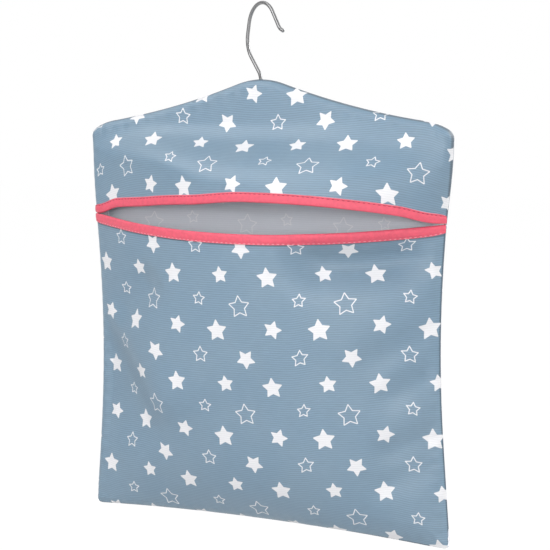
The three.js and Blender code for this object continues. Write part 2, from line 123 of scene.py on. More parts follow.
def way_along(value: Array, start: Array | float, end: Array | float) -> Array:
    """The share of the way from a start to an end, kept from 0 to 1."""
    return np.clip((value - start) / (end - start), 0, 1)


def bell(value: Array, width: float) -> Array:
    """A rounded peak, 1 where the value is 0."""
    return np.exp(-((value / width) ** 2))


def crown(u: Array, flatness: Array | float) -> Array:
    """A swell across the bag, 1 in its middle and 0 at its sides."""
    return np.maximum(1 - np.abs(u) ** flatness, 0)


def crowded(share: Array, crowding: float) -> Array:
    """Moves even shares from -1 to 1 closer together at both ends."""
    return share * (1 + crowding - crowding * share**2)


def by_side(u: Array, pair: Pair) -> Array:
    """A pair's first value on the left of the bag, and its second on the right."""
    return np.where(u < 0, *pair)


def unit(directions: Array) -> Array:
    """Directions brought to a length of 1."""
    return directions / np.linalg.norm(directions, axis=-1, keepdims=True)


def run_along(points: Array) -> Array:
    """The length of a line from its first point to each of its points."""
    return np.concatenate([[0.0], np.cumsum(np.linalg.norm(np.diff(points, axis=0), axis=1))])


def dimmed(colour: Colour, share: float) -> Colour:
    """A colour made darker by a share."""
    return tuple(share * part for part in colour)


def read_table(table: Array, row: Array, column: Array) -> Array:
    """Reads a table between its rows and columns.

    Args:
        table: Values on an even grid.
        row: Places down the table, counted in rows.
        column: Places across it, counted in columns.

    Returns:
        One value for each place.
    """
    i = np.clip(row.astype(int), 0, table.shape[0] - 2)
    j = np.clip(column.astype(int), 0, table.shape[1] - 2)
    below, beside = row - i, column - j
    first = table[i, j] * (1 - beside) + table[i, j + 1] * beside
    second = table[i + 1, j] * (1 - beside) + table[i + 1, j + 1] * beside
    return first * (1 - below) + second * below


@dataclass(frozen=True)
class Ease:
    """A soft rise from 0 to 1 that begins at a value; a negative length runs it towards lower values."""

    begin: float
    length: float

    def __call__(self, value: Array) -> Array:
        """The share of the rise at each value."""
        return smooth((value - self.begin) / self.length)


@dataclass(frozen=True)
class Fold:
    """A soft fold along a line on a panel.

    Ends are (x, drop); bow is how far the middle of the line hangs below its ends.
    """

    start: Pair
    end: Pair
    height: float
    width: float
    bow: float = 0.0
    fade: float = 0.3
    step_reach: float = 3.0
    kind: FoldKind = FoldKind.RIDGE

    def lift(self, x: Array, drop: Array) -> Array:
        """Height of the fold over the cloth.

        Args:
            x: Places across the bag.
            drop: Places below the top of the cloth.

        Returns:
            The lift at each place.
        """
        run = np.subtract(self.end, self.start)
        length = np.linalg.norm(run)
        along = run / length
        from_start = np.stack([x - self.start[0], drop - self.start[1]])
        share = np.tensordot(along, from_start, 1) / length
        across = along[0] * from_start[1] - along[1] * from_start[0]
        across = across - self.bow * 4 * share * (1 - share)
        ends = smooth(np.minimum(share, 1 - share) / self.fade)
        if self.kind is FoldKind.RIDGE:
            section = bell(across, math.sqrt(2) * self.width)
        else:
            section = np.tanh(across / self.width) * bell(across, math.sqrt(2) * self.step_reach * self.width)
        return self.height * ends * section


@dataclass(frozen=True)
class BagForm:
    """The bag's outline and swell, as in the part's source, with the ways its edges are drawn."""

    top: float = -64.918
    gap: float = 0.3
    width: float = 350.0
    hump_radius: float = 66.0
    neck_slope: float = math.radians(19.5)
    arm_slope: float = math.radians(8.5)
    droop_radius: float = 55.0
    droop_slope: float = math.radians(29.0)
    corner_radius: float = 10.0
    height: float = 405.0
    bottom_width: float = 355.0
    waist_draw: float = 11.0
    hem_lift: float = 6.0
    foot_radius: float = 6.5
    mouth_drop: float = 122.0
    raw_edge: float = 2.1
    yoke_arch: float = 18.0
    arch_flatness: float = 2.5
    lip_sink: float = 3.7
    sink_from: Ease = Ease(-0.92, 0.35)
    sink_to: Ease = Ease(0.05, -0.35)
    end_fall: Pair = (0.8, 0.9)
    end_fall_from: Ease = Ease(0.8, 0.15)
    end_dip: Pair = (1.9, 1.0)
    end_dip_from: Ease = Ease(0.8, 0.12)
    end_dip_to: Ease = Ease(1.0, -0.07)
    pouch_sag: float = 8.8
    sag_flatness: Pair = (1.75, 2.3)
    left_rise: float = 0.8
    left_rise_from: Ease = Ease(-0.6, -0.3)
    yoke_bulge: float = 50.0
    yoke_flatness: Pair = (1.33, 3.05)
    ledge_top: float = 35.5
    ledge_top_fall: Pair = (0.0, -7.0)
    ledge_foot: float = 91.3
    ledge_foot_fall: Pair = (-19.0, 10.0)
    ledge_span: float = 70.0
    ledge_squareness: float = 2.4
    ledge_room: float = 6.0
    ledge_break: float = 0.17
    ledge_break_from: Ease = Ease(0.275, 0.45)
    pouch_bulge: float = 50.0
    pouch_flatness: float = 2.0
    pouch_fall: float = 8.0
    pouch_lean: float = 0.4
    back_bulge: float = 10.0
    back_flatness: float = 3.0
    back_fall: float = 4.0
    back_rise: float = 0.5
    hanger_room: float = 7.8
    hanger_end_depth: float = 16.0
    seam_depth: float = 3.6
    roll_reach: float = 7.0
    shank_opening: float = 2.4
    shank_opening_width: float = 4.5
    shank_opening_depth: float = 6.0
    eased_roll_reach: float = 20.0
    eased_roll_start: float = 1.5
    eased_roll_across: Ease = Ease(60.0, 80.0)
    eased_roll_down: Ease = Ease(10.0, 50.0)
    seam_shift: float = 3.0
    seam_shift_reach: float = 22.0
    seam_shift_head: Ease = Ease(0.0, 50.0)
    seam_shift_foot: Ease = Ease(0.0, -90.0)
    side_draw: float = 0.6
    side_draw_across: Ease = Ease(30.0, 140.0)
    side_draw_head: Ease = Ease(-15.0, 40.0)
    side_draw_foot: Ease = Ease(20.0, -80.0)
    left_corner_draw: float = 2.8
    left_corner_across: Ease = Ease(-105.0, -65.0)
    right_corner_draw: float = 1.4
    right_corner_across: Ease = Ease(105.0, 65.0)
    right_corner_fall: float = 20.0
    corner_draw_reach: float = 34.0

    @property
    def half_shoulder(self) -> float:
        """Half the width across the shoulders."""
        return self.width / 2

    def arcs(self) -> list[tuple[float, float, float]]:
        """The shoulder line's arcs.

        Returns:
            For each arc its start, the slope there and its radius.
        """
        hump_end = self.hump_radius * math.sin(self.neck_slope)
        corner_start = self.half_shoulder - self.corner_radius * (1 - math.sin(self.droop_slope))
        droop_turn = math.sin(self.droop_slope) - math.sin(self.arm_slope)
        droop_start = corner_start - self.droop_radius * droop_turn
        arm_turn = math.sin(self.neck_slope) - math.sin(self.arm_slope)
        arm_radius = (droop_start - hump_end) / arm_turn
        return [
            (0.0, 0.0, self.hump_radius),
            (hump_end, self.neck_slope, -arm_radius),
            (droop_start, self.arm_slope, self.droop_radius),
            (corner_start, self.droop_slope, self.corner_radius),
        ]

    def shoulder(self, x: Array) -> tuple[Array, Array]:
        """The shoulder line.

        Args:
            x: Places across the bag.

        Returns:
            The line's drop and its slope at each place.
        """
        reach = np.minimum(np.abs(x), self.half_shoulder)
        arcs = self.arcs()
        ends = [arc[0] for arc in arcs[1:]] + [self.half_shoulder]
        drop = np.zeros_like(reach)
        slope = np.zeros_like(reach)
        for (start, first, radius), end in zip(arcs, ends):
            here = np.clip(reach, start, end)
            turned = np.arcsin(np.clip(math.sin(first) + (here - start) / radius, -1, 1))
            drop = drop + radius * (math.cos(first) - np.cos(turned))
            slope = np.where(reach >= start, turned, slope)
        return drop, slope

    def points(self, x: Array, y: Array, drop: Array) -> Array:
        """Points in the part's frame, in millimetres."""
        return np.stack([x, y, self.top - drop], axis=-1)

    def shoulder_drop(self, u: Array) -> Array:
        """Drop of the shoulder line at a share of the half width."""
        return self.shoulder(u * self.half_shoulder)[0]

    @property
    def corner_drop(self) -> float:
        """Drop where the sides begin."""
        return float(self.shoulder_drop(np.ones(1))[0])

    def half_width(self, drop: Array) -> Array:
        """Half width of the bag.

        Args:
            drop: Places below the top of the cloth.

        Returns:
            The half width at each place.
        """
        down = way_along(drop, self.corner_drop, self.height)
        straight = self.half_shoulder + (self.bottom_width / 2 - self.half_shoulder) * down
        return straight - self.waist_draw * np.sin(np.pi * down)

    def bottom(self, u: Array) -> Array:
        """The bottom seam.

        Args:
            u: Shares of the half width.

        Returns:
            The seam's drop at each share.
        """
        from_corner = np.clip((np.abs(u) - 1) * self.bottom_width / 2 / self.foot_radius + 1, 0, 1)
        rounded = self.foot_radius * (1 - np.sqrt(1 - from_corner**2))
        return self.height - self.hem_lift * (1 - u * u) - rounded

    def yoke_edge(self, u: Array) -> Array:
        """The cut edge above the mouth.

        Args:
            u: Shares of the half width.

        Returns:
            The edge's drop at each share.
        """
        reach = np.abs(u)
        arch = self.yoke_arch * (1 - reach**self.arch_flatness)
        sink = self.lip_sink * self.sink_to(u) * self.sink_from(u)
        fall = by_side(u, self.end_fall) * self.end_fall_from(reach)
        dip = by_side(u, self.end_dip) * self.end_dip_from(reach) * self.end_dip_to(reach)
        return self.mouth_drop - self.raw_edge - arch + sink + fall + dip

    def pouch_edge(self, u: Array) -> Array:
        """Drop of the cut edge below the mouth, at a share of the half width."""
        sag = self.pouch_sag * (1 - np.abs(u) ** by_side(u, self.sag_flatness))
        return self.mouth_drop + self.raw_edge + sag - self.left_rise * self.left_rise_from(u)

    def edge_distance(self, x: Array, drop: Array) -> Array:
        """Distance of places inwards from the bag's outline.

        Args:
            x: Places across the bag.
            drop: Places below the top of the cloth.

        Returns:
            The distance, nowhere below 0.
        """
        across = np.abs(x)
        aside = across - (self.half_shoulder - self.corner_radius)
        above = self.corner_drop - drop
        in_corner = (above > 0) & (aside > above * math.tan(self.droop_slope))
        line, slope = self.shoulder(x)
        half = self.half_width(drop)
        from_bottom = self.bottom(x / half) - drop
        inner = np.minimum(np.minimum((drop - line) * np.cos(slope), half - across), from_bottom)
        return np.maximum(np.where(in_corner, self.corner_radius - np.hypot(aside, above), inner), 0)

    def roll(self, x: Array, drop: Array) -> Array:
        """Depth that the rolled edge gives the cloth, which opens round the hook's shank.

        Args:
            x: Places across the bag.
            drop: Places below the top of the cloth.

        Returns:
            The depth at each place.
        """
        down = way_along(drop, self.mouth_drop, self.height)
        full = self.hanger_room + (self.seam_depth - self.hanger_room) * down - self.gap / 2
        share = np.minimum(self.edge_distance(x, drop) / self.roll_reach, 1)
        rolled = self.gap / 2 + full * np.sqrt(1 - (1 - share) ** 2)
        beside_shank = bell(x, self.shank_opening_width) * bell(drop, self.shank_opening_depth)
        return np.maximum(rolled, self.shank_opening * beside_shank)

    def front_roll(self, x: Array, drop: Array) -> Array:
        """Depth of the rolled edge on the front, which is drawn flat towards the right-hand seam.

        Args:
            x: Places across the bag.
            drop: Places below the top of the cloth.

        Returns:
            The depth at each place.
        """
        rolled = self.roll(x, drop)
        share = np.minimum(self.edge_distance(x, drop) / self.eased_roll_reach, 1)
        full = self.seam_depth + self.gap / 2
        rise = share * (self.eased_roll_start + (1 - self.eased_roll_start) * share)
        flatter = np.minimum(self.gap / 2 + full * rise, rolled)
        right = self.eased_roll_across(x) * self.eased_roll_down(drop - self.corner_drop)
        return rolled + (flatter - rolled) * right

    def seam_line(self, x: Array, drop: Array) -> Array:
        """How far the right-hand seam, with the cloth beside it, is drawn out of the middle plane.

        Args:
            x: Places across the bag.
            drop: Places below the top of the cloth.

        Returns:
            The shift along Y at each place.
        """
        from_side = self.half_width(drop) - x
        along = self.seam_shift_head(drop - self.corner_drop) * self.seam_shift_foot(drop - self.height)
        return self.seam_shift * along * bell(from_side, self.seam_shift_reach)

    def drawn(self, x: Array, drop: Array) -> Array:
        """Where places lie once the right-hand side and the shoulder corners are drawn.

        Args:
            x: Places across the bag.
            drop: Places below the top of the cloth.

        Returns:
            The new place across the bag of each.
        """
        from_corner = drop - self.corner_drop
        along = self.side_draw_head(from_corner) * self.side_draw_foot(drop - self.height)
        near_left = bell(from_corner, self.corner_draw_reach)
        near_right = bell(from_corner - self.right_corner_fall, self.corner_draw_reach)
        return (
            x
            + self.side_draw * along * self.side_draw_across(x)
            + self.left_corner_draw * near_left * self.left_corner_across(x)
            + self.right_corner_draw * near_right * self.right_corner_across(x)
        )

    def yoke_depth(self, x: Array, drop: Array) -> Array:
        """How far the yoke stands in front of the middle plane.

        Args:
            x: Places across the bag.
            drop: Places below the top of the cloth.

        Returns:
            The depth at each place.
        """
        u = x / self.half_width(drop)
        aside = 1 - np.exp(-np.abs(x / self.ledge_span) ** self.ledge_squareness)
        start = self.ledge_top + by_side(u, self.ledge_top_fall) * aside
        start = np.maximum(start, self.shoulder(x)[0] + self.ledge_room)
        end = self.ledge_foot + by_side(u, self.ledge_foot_fall) * aside
        share = (drop - start) / (end - start)
        down = (1 - self.ledge_break) * smooth(share) + self.ledge_break * self.ledge_break_from(share)
        full = crown(u, by_side(u, self.yoke_flatness))
        return self.front_roll(x, drop) + self.yoke_bulge * full * down

    def pouch_depth(self, x: Array, drop: Array) -> Array:
        """How far the pouch stands in front of the middle plane.

        Args:
            x: Places across the bag.
            drop: Places below the top of the cloth.

        Returns:
            The depth at each place.
        """
        u = x / self.half_width(drop)
        down = way_along(drop, self.pouch_edge(u), self.bottom(u))
        hang = 1 - self.pouch_lean * down - (1 - self.pouch_lean) * down**self.pouch_fall
        return self.front_roll(x, drop) + self.pouch_bulge * crown(u, self.pouch_flatness) * hang

    def back_depth(self, x: Array, drop: Array) -> Array:
        """How far the back stands behind the middle plane.

        Args:
            x: Places across the bag.
            drop: Places below the top of the cloth.

        Returns:
            The depth at each place.
        """
        u = x / self.half_width(drop)
        down = way_along(drop, self.shoulder(x)[0] + self.hanger_end_depth, self.bottom(u))
        rise = np.sin((np.pi / 2) * np.minimum(down / self.back_rise, 1)) ** 2
        full = self.back_bulge * crown(u, self.back_flatness)
        return self.roll(x, drop) + full * rise * (1 - down**self.back_fall)


class Workbench:
    """The few modelling steps that every piece goes through."""

    @staticmethod
    def clear() -> None:
        """Leaves edit mode and deselects everything."""
        if bpy.context.object is not None and bpy.context.object.mode != "OBJECT":
            bpy.ops.object.mode_set(mode="OBJECT")
        bpy.ops.object.select_all(action="DESELECT")

    @staticmethod
    def focus(piece: Piece) -> None:
        """Makes a piece the only selected and active one.

        Args:
            piece: The piece to work on.
        """
        Workbench.clear()
        piece.select_set(True)
        bpy.context.view_layer.objects.active = piece

    @staticmethod
    def edit(piece: Piece) -> None:
        """Takes a piece into edit mode with all of it selected.

        Args:
            piece: The piece to work on.
        """
        Workbench.focus(piece)
        bpy.ops.object.mode_set(mode="EDIT")
        bpy.ops.mesh.select_all(action="SELECT")

    @staticmethod
    def apply(piece: Piece, modifier: bpy.types.Modifier) -> None:
        """Applies a piece's modifier."""
        Workbench.focus(piece)
        bpy.ops.object.modifier_apply(modifier=modifier.name)

    @staticmethod
    def grid(name: str, columns: int, rows: int) -> Piece:
        """Adds a flat grid two units wide and high.

        Args:
            name: Name of the new piece.
            columns: Faces across.
            rows: Faces down.

        Returns:
            The grid, ready to be shaped.
        """
        Workbench.clear()
        bpy.ops.mesh.primitive_grid_add(x_subdivisions=columns, y_subdivisions=rows, size=2)
        piece = bpy.context.object
        piece.name = piece.data.name = name
        return piece

    @staticmethod
    def corners(piece: Piece) -> Array:
        """The places of a mesh's vertices.

        Args:
            piece: The piece that is measured.

        Returns:
            One row for each vertex.
        """
        places = np.empty(len(piece.data.vertices) * 3)
        piece.data.vertices.foreach_get("co", places)
        return places.reshape(-1, 3)

    @staticmethod
    def move_to(piece: Piece, places: Array) -> None:
        """Moves a mesh's vertices to places in millimetres."""
        piece.data.vertices.foreach_set("co", (places * MM).ravel())
        piece.data.update()

    @staticmethod
    def lay_flat(piece: Piece, flat: Array) -> None:
        """Stores each vertex's place on the flat cloth, in centimetres, as the UV map.

        Args:
            piece: The piece whose map is set.
            flat: Two columns in millimetres.
        """
        layer = piece.data.uv_layers.active or piece.data.uv_layers.new(name="flat")
        corner = np.empty(len(piece.data.loops), dtype=np.int32)
        piece.data.loops.foreach_get("vertex_index", corner)
        layer.data.foreach_set("uv", (flat[corner] * CM_PER_MM).astype(np.float32).ravel())

    @staticmethod
    def face_outwards(piece: Piece, side: Side) -> None:
        """Flips an open panel whose faces don't look to its side.

        Args:
            piece: The open panel.
            side: The side that its faces should look to.
        """
        normals = np.empty(len(piece.data.polygons) * 3)
        piece.data.polygons.foreach_get("normal", normals)
        if normals.reshape(-1, 3)[:, 1].sum() * side.value < 0:
            Workbench.edit(piece)
            bpy.ops.mesh.flip_normals()
            Workbench.clear()

    @staticmethod
    def close_ends(piece: Piece, doubles: float = 1e-7) -> None:
        """Merges a tube's doubles, closes both of its ends and turns its faces outwards.

        Args:
            piece: The open tube.
            doubles: The distance, in metres, up to which two vertices are one.
        """
        Workbench.edit(piece)
        bpy.ops.mesh.remove_doubles(threshold=doubles)
        bpy.ops.mesh.select_all(action="DESELECT")
        bpy.ops.mesh.select_non_manifold(extend=False, use_boundary=True)
        bpy.ops.mesh.edge_face_add()
        bpy.ops.mesh.select_all(action="SELECT")
        bpy.ops.mesh.normals_make_consistent(inside=False)
        Workbench.clear()

    @staticmethod
    def thicken(piece: Piece, thickness: float, offset: float = -1.0, lining: int = 0) -> None:
        """Gives an open sheet its thickness.

        Args:
            piece: The open sheet.
            thickness: In millimetres.
            offset: Where the wall goes: -1 inwards of the sheet, 0 to both of its sides.
            lining: How many slots further the inner face's material is.
        """
        wall = piece.modifiers.new("thickness", "SOLIDIFY")
        wall.thickness = thickness * MM
        wall.offset = offset
        wall.material_offset = wall.material_offset_rim = lining
        Workbench.apply(piece, wall)

    @staticmethod
    def soften(piece: Piece, angle: float = 180.0) -> None:
        """Shades a piece smooth, but for edges sharper than an angle in degrees."""
        Workbench.focus(piece)
        bpy.ops.object.shade_smooth_by_angle(angle=math.radians(angle))

    @staticmethod
    def dress(piece: Piece, *materials: bpy.types.Material) -> None:
        """Fills a piece's material slots.

        Args:
            piece: The piece that is dressed.
            materials: One material for each slot.
        """
        piece.data.materials.clear()
        for material in materials:
            piece.data.materials.append(material)

    @staticmethod
    def hand_over(piece: Piece, body: Body, slot: Slot, *nodes: str) -> None:
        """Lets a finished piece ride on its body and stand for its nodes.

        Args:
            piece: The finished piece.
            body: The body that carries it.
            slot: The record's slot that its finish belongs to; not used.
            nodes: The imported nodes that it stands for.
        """
        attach(piece, body.value)
        if nodes:
            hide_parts(*nodes)
        LOG.info("%s: %d faces, rides on %s", piece.name, len(piece.data.polygons), body.value)


class NodeSheet:
    """A node tree that is filled one node at a time."""

    def __init__(self, tree: bpy.types.NodeTree) -> None:
        """Starts on a tree."""
        self.tree = tree

    @classmethod
    def emptied(cls, owner: bpy.types.Material | bpy.types.World) -> "NodeSheet":
        """The sheet of a material or a world, with nothing on it.

        Args:
            owner: The material or world.

        Returns:
            Its empty sheet.
        """
        owner.use_nodes = True
        owner.node_tree.nodes.clear()
        return cls(owner.node_tree)

    def add(
        self, kind: str, inputs: dict[str | int, Input] | None = None, **settings: object
    ) -> bpy.types.Node:
        """Adds a node.

        Args:
            kind: The node's type, without the leading ShaderNode.
            inputs: Values or sockets for its inputs, by name or number.
            settings: Other properties of the node.

        Returns:
            The new node.
        """
        node = self.tree.nodes.new("ShaderNode" + kind)
        for name, value in settings.items():
            setattr(node, name, value)
        for key, value in (inputs or {}).items():
            self.feed(node.inputs[key], value)
        return node

    def feed(self, socket: Socket, value: Input) -> None:
        """Links a socket to another, or sets its value.

        Args:
            socket: The input that is fed.
            value: The other socket, or the value.
        """
        if isinstance(value, Socket):
            self.tree.links.new(value, socket)
        else:
            socket.default_value = value

    def math(self, operation: str, *values: Input) -> Socket:
        """A Math node's result."""
        return self.add("Math", dict(enumerate(values)), operation=operation).outputs[0]

    def vector(self, operation: str, *values: Input) -> Socket:
        """A Vector Math node's result."""
        node = self.add("VectorMath", dict(enumerate(values)), operation=operation)
        return node.outputs["Value" if operation in ("LENGTH", "DOT_PRODUCT") else "Vector"]

    def scaled(self, colour: Input, share: Input) -> Socket:
        """A colour made lighter or darker by a share."""
        return self.add("VectorMath", {0: colour, "Scale": share}, operation="SCALE").outputs["Vector"]

    def parts(self, place: Input) -> bpy.types.bpy_prop_collection:
        """The X, Y and Z of a place."""
        return self.add("SeparateXYZ", {0: place}).outputs

    def span(self, share: Input, to: Pair) -> Socket:
        """A share from 0 to 1 stretched into a range."""
        return self.math("MULTIPLY_ADD", share, to[1] - to[0], to[0])

    def between(self, value: Input, low: float, high: float, to: Pair = (0.0, 1.0)) -> Socket:
        """A value eased from one range into another."""
        inputs = {"Value": value, "From Min": low, "From Max": high, "To Min": to[0], "To Max": to[1]}
        return self.add("MapRange", inputs, interpolation_type="SMOOTHSTEP").outputs["Result"]

    def wave(self, run: Input, length: float) -> Socket:
        """A sine along a run, with its wavelength in the run's own unit."""
        return self.math("SINE", self.math("MULTIPLY", run, 2 * math.pi / length))

    def lifted(self, wave: Input) -> Socket:
        """A wave from -1 to 1 brought to 0 to 1."""
        return self.math("MULTIPLY_ADD", wave, 0.5, 0.5)

    def mix(self, share: Input, first: Input, second: Input) -> Socket:
        """Two colours mixed by a share.

        Args:
            share: How much of the second colour is in the mix.
            first: A colour or its socket.
            second: A colour or its socket.

        Returns:
            The mixed colour.
        """
        node = self.add("Mix", {"Factor": share}, data_type="RGBA")
        for key, colour in (("A", first), ("B", second)):
            self.feed(node.inputs[key], (*colour, 1.0) if isinstance(colour, tuple) else colour)
        return node.outputs["Result"]

    def flat_place(self) -> Socket:
        """The place on the flat cloth, in centimetres."""
        return self.add("UVMap").outputs["UV"]

    def solid_place(self) -> Socket:
        """The place in the part's frame, in metres."""
        return self.add("TexCoord").outputs["Object"]

    def noise(self, place: Input, scale: float, detail: float = 2.0, roughness: float = 0.5) -> Socket:
        """A noise pattern's value, about 0.5 on average."""
        inputs = {"Vector": place, "Scale": scale, "Detail": detail, "Roughness": roughness}
        return self.add("TexNoise", inputs).outputs["Fac"]

    def rays(self) -> tuple[Socket, Socket]:
        """The kinds of ray that meet a surface.

        Returns:
            Whether a ray comes straight from the camera, and whether it is mirrored by a gloss.
        """
        path = self.add("LightPath").outputs
        seen = self.math("MAXIMUM", path["Is Camera Ray"], path["Is Transmission Ray"])
        return seen, path["Is Glossy Ray"]

    def principled(
        self, looks: dict[str, Input], height: Socket | None = None, relief: Pair = (0.0, 0.0)
    ) -> Socket:
        """A Principled shader.

        Args:
            looks: Values or sockets for its inputs.
            height: A pattern from 0 to 1 that stands out of the surface.
            relief: That pattern's strength, and its depth in millimetres.

        Returns:
            The shader.
        """
        if height is not None:
            bump = self.add("Bump", {"Strength": relief[0], "Distance": relief[1] * MM, "Height": height})
            looks = looks | {"Normal": bump.outputs["Normal"]}
        return self.add("BsdfPrincipled", looks).outputs["BSDF"]


class Finish:
    """A procedural material that is made once and then shared."""

    name: str

    def material(self) -> bpy.types.Material:
        """The material, made at its first use.

        Returns:
            The shared material.
        """
        found = bpy.data.materials.get(self.name)
        if found:
            return found
        made = bpy.data.materials.new(self.name)
        sheet = NodeSheet.emptied(made)
        sheet.add("OutputMaterial", {"Surface": self.surface(sheet)})
        return made

    def surface(self, sheet: NodeSheet) -> Socket:
        """Lays out the nodes on a sheet and gives the shader."""
        raise NotImplementedError


@dataclass(frozen=True)
class Star:
    """One star of the print, placed on the flat cloth in millimetres and turned in degrees."""

    kind: StarKind
    across: float
    down: float
    radius: float
    turn: float


@dataclass(frozen=True)
class StarPrint:
    """The repeat of the print: rows of filled and outlined stars."""

    repeat: Pair = (93.7, 97.8)
    waist: float = 0.52
    blunt: float = 0.93
    line: float = 0.85
    softness: float = 0.18
    half_point: float = math.pi / 5
    stars: tuple[Star, ...] = (
        Star(StarKind.OUTLINE, -41.9, 140.3, 8.2, 0.0),
        Star(StarKind.FILLED, 2.7, 142.0, 9.4, 34.0),
        Star(StarKind.FILLED, -18.5, 165.7, 8.2, -7.0),
        Star(StarKind.FILLED, 25.8, 166.9, 10.0, -5.0),
        Star(StarKind.OUTLINE, -40.9, 187.7, 6.8, 6.0),
        Star(StarKind.OUTLINE, -1.2, 193.2, 10.9, -6.0),
        Star(StarKind.FILLED, 28.6, 212.3, 8.8, 17.0),
        Star(StarKind.FILLED, -24.1, 215.5, 10.6, -5.0),
    )

    def star_group(self) -> bpy.types.NodeTree:
        """A node group that measures how far a place lies inside one star of the repeat.

        Returns:
            The shared group, made at its first use.
        """
        found = bpy.data.node_groups.get("star")
        if found:
            return found
        group = bpy.data.node_groups.new("star", "ShaderNodeTree")
        sockets = {"Place": "Vector", "Centre": "Vector", "Radius": "Float", "Turn": "Float"}
        for name, kind in sockets.items():
            group.interface.new_socket(name, in_out="INPUT", socket_type="NodeSocket" + kind)
        group.interface.new_socket("Depth", in_out="OUTPUT", socket_type="NodeSocketFloat")
        sheet = NodeSheet(group)
        given = group.nodes.new("NodeGroupInput").outputs
        away = sheet.vector("SUBTRACT", given["Place"], given["Centre"])
        half = (*(size * CM_PER_MM / 2 for size in self.repeat), 1.0)
        near = sheet.vector("WRAP", away, half, tuple(-size for size in half))
        parts = sheet.parts(near)
        reach = sheet.vector("LENGTH", near)
        bearing = sheet.math("ARCTAN2", parts["X"], sheet.math("MULTIPLY", parts["Y"], -1.0))
        folded = sheet.math("PINGPONG", sheet.math("SUBTRACT", bearing, given["Turn"]), self.half_point)
        along = sheet.math("MULTIPLY", reach, sheet.math("COSINE", folded))
        aside = sheet.math("MULTIPLY", reach, sheet.math("SINE", folded))
        slant = (self.waist * math.sin(self.half_point), 1 - self.waist * math.cos(self.half_point))
        lengthwise, sideways = (size / math.hypot(*slant) for size in slant)
        inwards = sheet.math("MULTIPLY", sheet.math("SUBTRACT", given["Radius"], along), lengthwise)
        depth = sheet.math("SUBTRACT", inwards, sheet.math("MULTIPLY", aside, sideways))
        tip = sheet.math("SUBTRACT", sheet.math("MULTIPLY", given["Radius"], self.blunt), reach)
        result = group.nodes.new("NodeGroupOutput")
        sheet.feed(result.inputs["Depth"], sheet.math("MINIMUM", depth, tip))
        return group

    def mark(self, sheet: NodeSheet, place: Socket, star: Star) -> Socket:
        """Where one star's white lies.

        Args:
            sheet: The sheet to draw on.
            place: The place on the flat cloth, in centimetres.
            star: The star.

        Returns:
            A share, 1 on the star.
        """
        inputs = {
            "Place": place,
            "Centre": (star.across * CM_PER_MM, star.down * CM_PER_MM, 0.0),
            "Radius": star.radius * CM_PER_MM,
            "Turn": math.radians(star.turn),
        }
        depth = sheet.add("Group", inputs, node_tree=self.star_group()).outputs["Depth"]
        if star.kind is StarKind.OUTLINE:
            middle = self.line * CM_PER_MM / 2
            from_middle = sheet.math("ABSOLUTE", sheet.math("SUBTRACT", depth, middle))
            depth = sheet.math("SUBTRACT", middle, from_middle)
        soft = self.softness * CM_PER_MM
        return sheet.between(depth, -soft, soft)

    def mask(self, sheet: NodeSheet, place: Socket) -> Socket:
        """Where the print's white lies, as a share that is 1 on a star."""
        marks = [self.mark(sheet, place, star) for star in self.stars]
        return reduce(partial(sheet.math, "MAXIMUM"), marks)


@dataclass(frozen=True)
class Weave:
    """The threads of a cloth: ribs across it and finer threads along it, in millimetres."""

    rib: float = 2.0
    thread: float = 0.62
    drift: float = 0.35
    drift_scale: float = 0.9

    def rows(self, sheet: NodeSheet, place: Socket) -> tuple[Socket, Socket]:
        """The ribs and the threads.

        Args:
            sheet: The sheet to draw on.
            place: The place on the flat cloth, in centimetres.

        Returns:
            The ribs' and the threads' height, each from 0 to 1.
        """
        parts = sheet.parts(place)
        wander = sheet.noise(place, self.drift_scale, 3.0)
        uneven = sheet.math("MULTIPLY_ADD", wander, self.drift * self.rib * CM_PER_MM, parts["Y"])
        crossing = [sheet.wave(parts[axis], self.thread * CM_PER_MM) for axis in "XY"]
        ribs = sheet.wave(uneven, self.rib * CM_PER_MM)
        return sheet.lifted(ribs), sheet.lifted(sheet.math("MULTIPLY", *crossing))

    @staticmethod
    def height(sheet: NodeSheet, ribs: Socket, threads: Socket, rib_share: float) -> Socket:
        """The weave's height from 0 to 1, of which a share is the ribs'."""
        fine = sheet.math("MULTIPLY", threads, 1 - rib_share)
        return sheet.math("MULTIPLY_ADD", ribs, rib_share, fine)


